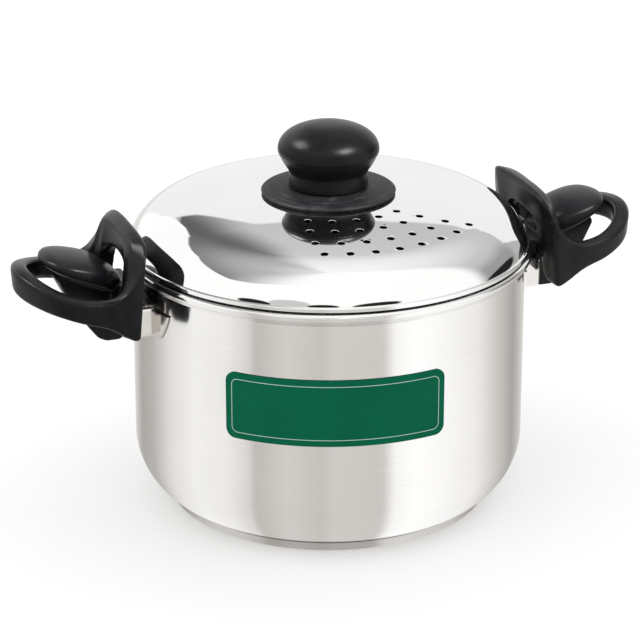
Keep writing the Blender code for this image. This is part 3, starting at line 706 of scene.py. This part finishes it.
def hole_cutter_mesh(places):
    """Round punches with a flare at the outer face, so that each hole has a soft lip."""
    shape = bmesh.new()
    profile = [(HOLE_RADIUS, -PUNCH_DEPTH)]
    profile += arc((HOLE_RADIUS + HOLE_LIP, -HOLE_LIP), HOLE_LIP, pi, pi / 2, 5)
    flare = HOLE_RADIUS + PUNCH_FLARE
    profile += [(flare, PUNCH_LIFT), (flare, PUNCH_TOP)]
    for point, outward in places:
        turn = outward.to_track_quat("Z", "Y").to_matrix()
        rings = [[shape.verts.new(point + turn @ Vector(corner))
                  for corner in circle(radius, height, HOLE_STEPS)] for radius, height in profile]
        skin(shape, rings)
        shape.faces.new(rings[0])
        shape.faces.new(rings[-1])
    return finish_mesh("hole_cutter", shape)


def hole_at(point, places):
    """The hole that a point of the lid's sheet lies in or on the lip of, or None."""
    for place, outward in places:
        offset = point - place
        if offset.length < HOLE_REACH:
            depth = offset.dot(outward)
            if (offset - outward * depth).length < HOLE_RADIUS + 0.8 * HOLE_LIP:
                return place, outward
    return None


def lip_normal(point, hole):
    """True normal of a hole's rounded lip."""
    place, outward = hole
    offset = point - place
    depth = offset.dot(outward)
    across = offset - outward * depth
    centre = across.normalized() * (HOLE_RADIUS + HOLE_LIP) + outward * min(depth, -HOLE_LIP)
    return (offset - centre).normalized()


def dome_normal(point):
    """True normal of the lid's outer face at a point on it, or None elsewhere."""
    radius = sqrt(point.x ** 2 + point.y ** 2)
    if radius <= SHOULDER_START + 1e-6:
        outward = point - Vector((0.0, 0.0, DOME_CENTRE_Z))
        size = DOME_RADIUS
    else:
        outward = point - Vector((point.x / radius * SHOULDER_CENTRE[0],
                                  point.y / radius * SHOULDER_CENTRE[0], SHOULDER_CENTRE[1]))
        size = SHOULDER_RADIUS
    if abs(outward.length - size) > 4e-5 or point.z < LID_SEAT + EDGE_BAND_HEIGHT - 1e-5:
        return None
    return outward.normalized()


def build_lid():
    bore = KNOB_SCREW_RADIUS + BORE_CLEARANCE
    skirt_bottom = RIM_HEIGHT - SKIRT_DEPTH
    inside = [(bore, LID_APEX - LID_SHEET)] + lid_surface(LID_SHEET, 10, 14)
    inside.append((SKIRT_RADIUS - LID_SHEET, skirt_bottom))
    outside = [(bore, LID_APEX)] + lid_surface(0.0, 26, 34)
    band_top = LID_SEAT + EDGE_BAND_HEIGHT
    curl = 0.5 * EDGE_BAND_STEP
    band = [(LID_RADIUS - 0.4 * EDGE_BAND_STEP, band_top - 0.15 * EDGE_BAND_STEP)]
    band += arc((LID_RADIUS - curl, band_top - 0.2 * EDGE_BAND_STEP - curl), curl, pi / 2.6, 0, 5)
    band += arc((LID_RADIUS - LID_CURL, LID_SEAT + LID_CURL), LID_CURL, 0, -pi / 2, 7)
    band += [(SKIRT_RADIUS, LID_SEAT), (SKIRT_RADIUS, skirt_bottom)]
    shell = lathe("lid_dome", outside + band + inside[::-1], LID_STEPS, closed=True)
    places = hole_places()
    mesh = combined(shell, [("DIFFERENCE", hole_cutter_mesh(places))])
    mesh.materials.clear()
    known = [dome_normal(vertex.co) for vertex in mesh.vertices]
    normals = []
    for face in mesh.polygons:
        hole = hole_at(face.center, places)
        for index in face.vertices:
            if hole:
                normals.append(lip_normal(mesh.vertices[index].co, hole))
            elif known[index] is not None and known[index].dot(face.normal) > 0.7:
                normals.append(known[index])
            else:
                normals.append((0.0, 0.0, 0.0))
    mesh.normals_split_custom_set(normals)
    add_piece("lid_dome", mesh, "lid", "polished_steel", "lid_shell", LID_STEEL)


# Knob and collar
def build_knob():
    widest = KNOB_SEAT + KNOB_WIDEST
    crown = KNOB_HEIGHT - KNOB_WIDEST
    turns = [pi / 2 * i / CROWN_STEPS for i in range(CROWN_STEPS + 1)]
    profile = [(KNOB_RADIUS * sin(a) ** KNOB_FULLNESS, widest + crown * cos(a)) for a in turns]
    profile += [(KNOB_RADIUS - inward, widest - down) for inward, down in KNOB_SEAM]
    neck_top = KNOB_SEAT + NECK_HEIGHT
    drop = widest - neck_top
    profile += flowing([(KNOB_RADIUS - 0.00012, widest - 0.0016),
                        (KNOB_RADIUS - 0.0007, widest - 0.24 * drop),
                        (KNOB_RADIUS - 0.0027, widest - 0.60 * drop),
                        (NECK_RADIUS + 0.0008, neck_top + 0.12 * drop),
                        (NECK_RADIUS, neck_top - 0.0008),
                        (NECK_RADIUS, KNOB_SEAT + 3 * KNOB_FOOT_EDGE)], 7)
    profile += arc((NECK_RADIUS - KNOB_FOOT_EDGE, KNOB_SEAT + KNOB_FOOT_EDGE), KNOB_FOOT_EDGE,
                   0, -pi / 2, 4)
    bore = INSERT_RADIUS + GAP
    bore_top = KNOB_SEAT + GAP + INSERT_LENGTH + GAP
    profile += [(bore, KNOB_SEAT), (bore, bore_top), (0.0, bore_top)]
    mesh = lathe("knob_head", profile, KNOB_STEPS, angle=MOULD_ANGLE)
    add_piece("knob_head", mesh, "lid", "black_bakelite", "lid_knob", KNOB_BLACK)


def build_collar():
    bore = KNOB_SCREW_RADIUS + BORE_CLEARANCE
    top = KNOB_SEAT - GAP
    rim = COLLAR_RADIUS - COLLAR_RIM
    under = dome_height(COLLAR_RADIUS) + GAP
    profile = [(bore, top), (NECK_RADIUS + 0.0006, top)]
    profile += flowing([(NECK_RADIUS + 0.0010, top), (NECK_RADIUS + 0.0030, top - 0.0003),
                        (COLLAR_RADIUS - 0.0040, under + COLLAR_EDGE + 0.00045),
                        (rim, under + COLLAR_EDGE)], 5)
    profile += flowing([(COLLAR_RADIUS - 0.0008, under + COLLAR_EDGE),
                        (COLLAR_RADIUS - 0.0001, under + 0.72 * COLLAR_EDGE),
                        (COLLAR_RADIUS, under + 0.5 * COLLAR_EDGE),
                        (COLLAR_RADIUS - 0.0006, under)], 4)
    seat_radii = [bore + (rim - bore) * i / 8 for i in range(8, -1, -1)]
    profile += [(radius, dome_height(radius) + GAP) for radius in seat_radii]
    mesh = lathe("knob_plate", profile, KNOB_STEPS, closed=True)
    add_piece("knob_plate", mesh, "lid", "black_bakelite", "knob_collar", COLLAR_BLACK)


# Handles
def mm(*values):
    return tuple(value * MM for value in values)


def tongue_ring(section):
    """The outline of the thumb plate at one reach."""
    reach, half_width, edge, crown, under = mm(*section)
    points = []
    for i in range(THUMB_STEPS):
        turn = tau * i / THUMB_STEPS
        lift = sin(turn)
        if lift > 0:
            rise = (crown - edge) * lift ** CROWN_FLATNESS
        else:
            rise = (under - edge) * abs(lift) ** 0.5
        points.append((reach, half_width * cos(turn), edge + rise))
    return points


def tongue_mesh():
    """Hub, saddle, ears and thumb plate, blended into one moulding, then bored."""
    shape = bmesh.new()
    face_reach = BRACKET_REACH + GAP
    outline = [mm(*point) for point in HUB_OUTLINE] + [(face_reach, *mm(height)) for height in HUB_FACE]
    face = shape.faces.new([shape.verts.new((reach, -HUB_HALF_WIDTH, height))
                            for reach, height in outline])
    sweep = bmesh.ops.extrude_face_region(shape, geom=[face])
    moved = [item for item in sweep["geom"] if isinstance(item, bmesh.types.BMVert)]
    bmesh.ops.translate(shape, verts=moved, vec=(0.0, 2 * HUB_HALF_WIDTH, 0.0))
    bmesh.ops.bevel(shape, geom=shape.edges[:], offset=TONGUE_ROUNDING, segments=4, profile=0.5,
                    affect="EDGES")
    hub = finish_mesh("tongue", shape)
    plate = loft("plate", [tongue_ring(s) for s in flowing(TONGUE_SECTIONS, 4)], False)
    saddle = box("saddle", (SADDLE_START, -SADDLE_HALF_WIDTH, BRACKET_TOP + GAP),
                 (PIVOT_REACH, SADDLE_HALF_WIDTH, SADDLE_TOP), TONGUE_ROUNDING, 4)
    length = 2 * (BRACKET_HALF_WIDTH + WING_CLEARANCE - EAR_CLEARANCE)
    pivot = (PIVOT_REACH, 0.0, PIVOT_HEIGHT)
    ears = cylinder("ears", EAR_RADIUS, length, "Y", pivot)
    solid = combined(hub, [("UNION", plate), ("UNION", saddle), ("UNION", ears)])
    moulded = softened(solid, TONGUE_VOXEL, 6)
    bore = cylinder("bore", PIN_RADIUS + BORE_CLEARANCE, EAR_BORE_LENGTH, "Y", pivot)
    shank = cylinder("shank", SCREW_RADIUS + BORE_CLEARANCE, SHANK_LENGTH, "X",
                     (SCREW_SEAT, 0.0, SCREW_HEIGHT))
    recess = cylinder("recess", SCREW_HEAD_RADIUS + GAP, RECESS_LENGTH, "X",
                      (SCREW_SEAT + RECESS_LENGTH / 2, 0.0, SCREW_HEIGHT))
    mesh = combined(moulded, [("DIFFERENCE", bore), ("DIFFERENCE", shank), ("DIFFERENCE", recess)])
    mesh.shade_smooth()
    mesh.set_sharp_from_angle(angle=MOULD_ANGLE)
    return mesh


def grip_half_sections():
    """Outer top, inner top, inner bottom, outer bottom of each ring section, half way round."""
    inner_radius = RING_RADIUS - RING_BAND
    sections = []
    for degrees in (0, 22, 45, 67, 88):
        turn = radians(degrees)
        top = RING_TOP + RING_END_LIFT * cos(turn) ** 2
        end_drop = RING_TOP + RING_END_LIFT - RING_DEPTH - RING_SIDE_BOTTOM
        bottom = RING_SIDE_BOTTOM + end_drop * cos(turn)
        corners = ((RING_RADIUS, top), (inner_radius, top), (inner_radius + 0.0004, bottom + 0.0010),
                   (RING_RADIUS - 0.0008, bottom))
        sections.append([(RING_CENTRE + radius * cos(turn), radius * sin(turn), height)
                         for radius, height in corners])
    # wings and arch, in millimetres, from the ring's side to the arch's middle
    cut = (BRACKET_HALF_WIDTH + WING_CLEARANCE) / MM
    front, back, side, low, high, under = [length / MM for length in (
        ARCH_REACH, ARCH_BACK, RING_RADIUS, WING_BOTTOM, ARCH_TOP, ARCH_UNDERSIDE)]
    upper = (
        ((17.5, side, -0.4), (19.5, side - 8.5, -2.2),
         (19.8, side - 8.0, low + 4.3), (17.5, side - 0.5, low + 2.3)),
        ((11.5, side - 0.1, 5.8), (15.8, side - 9.7, 3.4),
         (18.6, side - 9.0, low + 1.2), (12.8, side - 0.3, low + 0.2)),
        ((7.6, side - 0.9, 12.2), (14.0, side - 10.6, 9.8),
         (18.3, side - 10.7, low), (10.6, side - 0.9, low)),
        ((front + 3.2, side - 3.5, high - 6.0), (12.6, side - 11.8, high - 8.6),
         (18.1, cut + 3.1, low), (9.9, cut + 10.0, low)),
        ((front + 1.0, side - 8.8, high - 2.6), (back + 0.6, side - 14.4, high - 4.8),
         (18.0, cut + 1.2, low + 1.6), (9.4, cut + 4.0, low + 1.0)),
        ((front + 0.2, side - 16.0, high - 1.0), (back + 0.1, side - 18.4, high - 2.8),
         (17.2, cut, low + 11.0), (8.8, cut, low + 9.0)),
        ((front, 14.5, high - 0.3), (back, 14.0, high - 1.9),
         (back + 2.5, cut - 0.2, under - 8.0), (7.0, cut - 0.2, under - 9.0)),
        ((front, 7.0, high - 0.1), (back, 7.0, high - 1.6),
         (back + 0.6, 14.0, under - 1.0), (5.6, 14.0, under - 1.0)),
        ((front, 0.0, high), (back, 0.0, high - 1.6), (back, 0.0, under + 1.0), (5.0, 0.0, under + 0.6)),
    )
    sections += [[mm(*corner) for corner in section] for section in upper]
    return [[Vector(corner) for corner in section] for section in sections]


def rounded_section(corners, rounding, steps):
    """Each corner becomes a small curve from one side to the next."""
    points = []
    for i in range(4):
        corner = corners[i]
        to_last = corners[i - 1] - corner
        to_next = corners[(i + 1) % 4] - corner
        start = corner + to_last.normalized() * min(rounding, 0.45 * to_last.length)
        end = corner + to_next.normalized() * min(rounding, 0.45 * to_next.length)
        for j in range(steps + 1):
            t = j / steps
            points.append(start * (1 - t) ** 2 + corner * 2 * t * (1 - t) + end * t ** 2)
    return points


def ring_mesh():
    """The swinging ring with its wings and arch, bored for its pins."""
    half = grip_half_sections()
    loop = half + [[Vector((c.x, -c.y, c.z)) for c in section] for section in half[-2:0:-1]]
    count = len(loop)
    rings = []
    for i in range(count):
        for j in range(RING_STEPS):
            share = j / RING_STEPS
            corners = [between(loop[i - 1][k], loop[i][k], loop[(i + 1) % count][k],
                               loop[(i + 2) % count][k], share) for k in range(4)]
            arch_share = min(max(5.0 - abs(i + share - count / 2), 0.0) / 2, 1.0)
            rounding = RING_ROUNDING + (ARCH_ROUNDING - RING_ROUNDING) * arch_share
            rings.append(rounded_section(corners, rounding, 6))
    ring = loft("ring", rings, True, RING_ANGLE)
    length = 2 * (BRACKET_HALF_WIDTH + WING_CLEARANCE + PIN_BITE + GAP)
    bore = cylinder("bore", PIN_RADIUS + BORE_CLEARANCE, length, "Y", (PIVOT_REACH, 0.0, PIVOT_HEIGHT))
    mesh = combined(softened(ring, RING_VOXEL, 4), [("DIFFERENCE", bore)])
    mesh.shade_smooth()
    mesh.set_sharp_from_angle(angle=RING_ANGLE)
    return mesh


def build_handles():
    """Both handles from one set of meshes, the left one turned half way round."""
    tongue = tongue_mesh()
    ring = ring_mesh()
    for side, turn in (("right", 0.0), ("left", pi)):
        place = Matrix.Rotation(turn, 4, "Z") @ Matrix.Translation((POT_RADIUS, 0.0, RIM_HEIGHT))
        for name, source, body, node in (("tongue_", tongue, "pot", "grip_tongue_"),
                                         ("ring_", ring, side + "_ring", "grip_ring_")):
            mesh = source.copy()
            mesh.materials.clear()
            mesh.transform(place)
            mesh.name = name + side
            add_piece(name + side, mesh, body, "black_bakelite", node + side, GRIP_BLACK)


# Front plate
def plate_loop(inset, corner):
    """A rounded outline on the plate, as distance along the wall and height."""
    half = PLATE_HALF_ANGLE * (POT_RADIUS + GAP) - inset
    rise = (PLATE_TOP - PLATE_BOTTOM) / 2 - inset
    corner = min(corner, rise)
    middle = (PLATE_TOP + PLATE_BOTTOM) / 2
    width = 2 * (half - corner)
    points = []
    for quarter, (sign_x, sign_z) in enumerate(((1, 1), (-1, 1), (-1, -1), (1, -1))):
        centre = (sign_x * (half - corner), middle + sign_z * (rise - corner))
        points += arc(centre, corner, pi / 2 * quarter, pi / 2 * (quarter + 1), PLATE_CORNER_STEPS)
        if quarter in (0, 2):
            start, height = points[-1]
            points += [(start - sign_x * width * i / PLATE_STEPS, height)
                       for i in range(1, PLATE_STEPS)]
    return points


def build_plate():
    """Thin green plate with a pale line set in from its edge."""
    inner = POT_RADIUS + GAP
    outer = inner + PLATE_THICKNESS
    outlines = ((0.0, PLATE_CORNER, inner), (0.0, PLATE_CORNER, outer - PLATE_BEVEL),
                (PLATE_BEVEL, PLATE_CORNER - PLATE_BEVEL, outer),
                (BORDER_INSET, BORDER_CORNER, outer),
                (BORDER_INSET + BORDER_WIDTH, BORDER_CORNER - BORDER_WIDTH, outer),
                (0.0050, 0.0020, outer), (0.0090, 0.0015, outer), (0.0130, 0.0010, outer))
    shape = bmesh.new()
    rows = []
    for inset, corner, radius in outlines:
        turns = [(PLATE_TURN + along / inner, height) for along, height in plate_loop(inset, corner)]
        rows.append([shape.verts.new((radius * cos(a), radius * sin(a), height))
                     for a, height in turns])
    bands = skin(shape, rows)
    count = len(rows[0])
    for face in bands[3 * count:4 * count]:
        face.material_index = 1
    # the middle and the back are bridged straight across, one strip per column
    top = PLATE_CORNER_STEPS
    bottom = 2 * (top + 1) + PLATE_STEPS - 1 + top
    for row in (rows[-1], rows[0]):
        upper = row[top:top + PLATE_STEPS + 1]
        lower = row[bottom:bottom + PLATE_STEPS + 1][::-1]
        for i in range(PLATE_STEPS):
            shape.faces.new((upper[i], upper[i + 1], lower[i + 1], lower[i]))
        shape.faces.new(row[top + PLATE_STEPS:bottom + 1])
        shape.faces.new(row[bottom + PLATE_STEPS:] + row[:top + 1])
    mesh = finish_mesh("wall_plate", shape, PLATE_ANGLE)
    add_piece("wall_plate", mesh, "pot", "green_plate", "front_plate", GREEN_INK, PALE_INK)


# Pieces left as packed
def dress_nodes():
    """Nodes whose CAD shape is right keep it and get a better material."""
    finishes = {"base_core": CORE_ALUMINIUM, "knob_insert": INSERT_BRASS, "knob_washer": SCREW_STEEL,
                "knob_screw": SCREW_STEEL}
    for side in ("right", "left"):
        finishes["bracket_" + side] = BRACKET_STEEL
        for name in ("bracket_nut_", "handle_screw_", "pivot_pin_"):
            finishes[name + side] = SCREW_STEEL
    for name, material in finishes.items():
        for slot in NODES[name].material_slots:
            slot.material = material


# Studio
def build_world():
    """Even light on dull surfaces, a studio for shiny ones, and white behind the pot."""
    world = bpy.data.worlds.new("studio")
    bpy.context.scene.world = world
    nodes = Nodes(world)
    nodes.tree.nodes.clear()
    calc, times, blend = nodes.math, nodes.times, nodes.blend

    def ease(value, low, high):
        return nodes.node("MapRange", settings={"interpolation_type": "SMOOTHSTEP"}, Value=value,
                          From_Min=low, From_Max=high).outputs[0]

    def level(value, points):
        """A height or brightness that follows the points, each a position and an amount."""
        first, last = points[0][0], points[-1][0]
        stops = [((at - first) / (last - first), (amount / 100.0,) * 3) for at, amount in points]
        place = calc("DIVIDE", calc("SUBTRACT", value, first), last - first)
        return times(nodes.ramp(place, stops), 100.0)

    # direction with the photo's side at the front
    generated = nodes.node("TexCoord").outputs["Generated"]
    turned = nodes.node("Mapping", Vector=generated, Rotation=(0.0, 0.0, radians(CAMERA_TURN)))
    x, y, z = nodes.node("SeparateXYZ", turned.outputs[0]).outputs
    # turn from the photo's side, and from straight behind the pot, and height above the horizon
    front = calc("DEGREES", calc("ARCTAN2", x, times(y, -1.0)))
    back = calc("DEGREES", calc("ARCTAN2", x, y))
    high = calc("DEGREES", calc("ARCSINE", z))

    # the bands follow the way that an upright wall faces when it mirrors a direction to the
    # photo's side, so that they stand upright on the pot
    ahead = calc("SUBTRACT", cos(radians(CAMERA_ELEVATION)), y)
    facing = calc("DIVIDE", calc("ARCTAN2", x, ahead), pi)
    stops = []
    for turn, brightness in LOW_BANDS:
        # the darker a band, the warmer it is
        warmth = min(max((1.05 - brightness) / 0.4, 0.0), 1.0)
        stops.append(((turn + 180.0) / 360.0, (brightness, brightness * (1 - 0.03 * warmth),
                                               brightness * (1 - 0.07 * warmth))))
    bands = nodes.ramp(calc("ADD", facing, 0.5), stops)

    # white backdrop behind the pot and the paler grey room above and to the right of it
    top_edge = level(back, BACKDROP_TOP)
    above_backdrop = ease(calc("SUBTRACT", high, top_edge), *BACKDROP_TOP_EDGE)
    right_edge = level(high, BACKDROP_RIGHT)
    right_of_backdrop = ease(calc("SUBTRACT", back, right_edge), *BACKDROP_RIGHT_EDGE)
    ceiling = calc("DIVIDE", level(high, CEILING_LIGHT), 100.0)
    side_room = blend(ease(back, *SIDE_ROOM_TURNS), *SIDE_ROOM_LIGHT)
    beside = times(right_of_backdrop, ease(high, *SIDE_ROOM_HEIGHTS))
    ceiling = blend(beside, ceiling, side_room)
    sky = blend(calc("MAXIMUM", above_backdrop, right_of_backdrop), BACKDROP_LIGHT, ceiling)
    sky = blend(ease(back, *RIGHT_PANEL_TURNS), sky, PANEL_LIGHT)

    # soft box at the left, with a grey gap over it that fades upwards and towards the front
    box_top = level(back, BOX_TOP)
    over_box = ease(calc("SUBTRACT", high, box_top), *BOX_TOP_EDGE)
    box_right = level(high, BOX_RIGHT)
    left_side = ease(calc("ADD", back, box_right), *BOX_RIGHT_EDGE)
    sky = blend(times(left_side, calc("SUBTRACT", 1.0, over_box)), sky, BOX_LIGHT)
    gap_right = level(high, GAP_RIGHT)
    least, more = GAP_SOFTNESS
    softness = calc("ADD", least, times(ease(high, *GAP_SOFT_HEIGHTS), more))
    in_gap = calc("DIVIDE", times(calc("ADD", back, gap_right), -1.0), softness)
    gap_light = calc("DIVIDE", level(high, GAP_LIGHT), 100.0)
    gap_light = blend(ease(back, *GAP_END_TURNS), gap_light, GAP_END_LIGHT)
    over_both = times(over_box, above_backdrop)
    sky = blend(times(over_both, ease(in_gap, -1.0, 1.0)), sky, gap_light)
    near_front = times(ease(calc("ABSOLUTE", front), *FRONT_TURNS), ease(high, *FRONT_HEIGHTS))
    sky = blend(near_front, sky, PANEL_LIGHT)
    grey = nodes.node("CombineColor", sky, sky, sky).outputs[0]
    room = nodes.mix(ease(high, *FLOOR_HEIGHTS), grey, bands)

    # dark and grey things in the room, seen in the lid's shoulder
    for turn, width, height, depth, shade in ROOM_SHAPES:
        across = calc("DIVIDE", calc("SUBTRACT", front, turn), width)
        upright = calc("DIVIDE", calc("SUBTRACT", high, height), depth)
        reach = calc("SQRT", calc("ADD", times(across, across), times(upright, upright)))
        room = nodes.mix(ease(reach, *SHAPE_EDGE), room, (shade, shade, shade, 1.0))

    path = nodes.node("LightPath").outputs
    shiny = calc("MAXIMUM", path["Is Glossy Ray"], path["Is Transmission Ray"])
    light = nodes.node("Background", WHITE, WORLD_LIGHT).outputs[0]
    mirror = nodes.node("Background", room).outputs[0]
    white = nodes.node("Background", WHITE).outputs[0]
    lighting = nodes.node("MixShader", shiny, light, mirror).outputs[0]
    seen = nodes.node("MixShader", path["Is Camera Ray"], lighting, white).outputs[0]
    nodes.node("OutputWorld", seen)


def build_floor():
    """Pale paper that keeps the pot's shadow and doesn't show in the steel."""
    shape = bmesh.new()
    corners = ((-1, -1), (1, -1), (1, 1), (-1, 1))
    shape.faces.new([shape.verts.new((x * FLOOR_SIZE, y * FLOOR_SIZE, -FLOOR_DROP))
                     for x, y in corners])
    mesh = finish_mesh("floor", shape)
    floor = placed("floor", mesh)
    material = bpy.data.materials.new("floor_paper")
    paper = Nodes(material)
    paper.tree.nodes.clear()
    diffuse = paper.node("BsdfDiffuse", FLOOR_TONE).outputs[0]
    to_camera = paper.node("LightPath").outputs["Is Camera Ray"]
    glow = paper.node("Emission", WHITE, paper.times(to_camera, FLOOR_GLOW)).outputs[0]
    both = paper.node("AddShader", diffuse, glow).outputs[0]
    paper.node("OutputMaterial", both)
    mesh.materials.append(material)
    floor.visible_glossy = False


def build_lamps():
    """Square soft lights aimed at the pot, for the black mouldings alone."""
    lit = bpy.data.collections.new("lit_by_lamps")
    for name in LAMP_PIECES:
        lit.objects.link(bpy.data.objects[name])
    aim = Vector((0.0, 0.0, LAMP_AIM))
    for name, turn, height, distance, size, power in LAMPS:
        angle = radians(turn - CAMERA_TURN)
        flat = distance * cos(radians(height))
        away = Vector((flat * sin(angle), -flat * cos(angle), distance * sin(radians(height))))
        data = bpy.data.lights.new(name, "AREA")
        data.shape = "RECTANGLE"
        data.size, data.size_y = size
        data.energy = power
        lamp = placed(name, data)
        lamp.location = aim + away
        lamp.rotation_euler = away.to_track_quat("Z", "Y").to_euler()
        lamp.visible_camera = False
        lamp.light_linking.receiver_collection = lit


def build_camera():
    lift = radians(CAMERA_ELEVATION)
    aim = Vector(CAMERA_AIM) * MM
    away = Vector((0.0, -cos(lift), sin(lift))) * CAMERA_DISTANCE * MM
    turn = Matrix.Rotation(-radians(CAMERA_TURN), 4, "Z")
    data = bpy.data.cameras.new("photo_camera")
    data.sensor_width = SENSOR
    data.lens = CAMERA_FOCAL / FRAME_PIXELS * SENSOR
    data.clip_start, data.clip_end = CAMERA_CLIP
    camera = placed("photo_camera", data)
    camera.location = turn @ (aim + away)
    camera.rotation_euler = (pi / 2 - lift, 0.0, -radians(CAMERA_TURN))
    bpy.context.scene.camera = camera


build_pot()
build_base()
build_lid()
build_knob()
build_collar()
build_handles()
build_plate()
dress_nodes()
build_camera()
build_world()
build_floor()
build_lamps()
bpy.context.scene.view_settings.view_transform = "Standard"
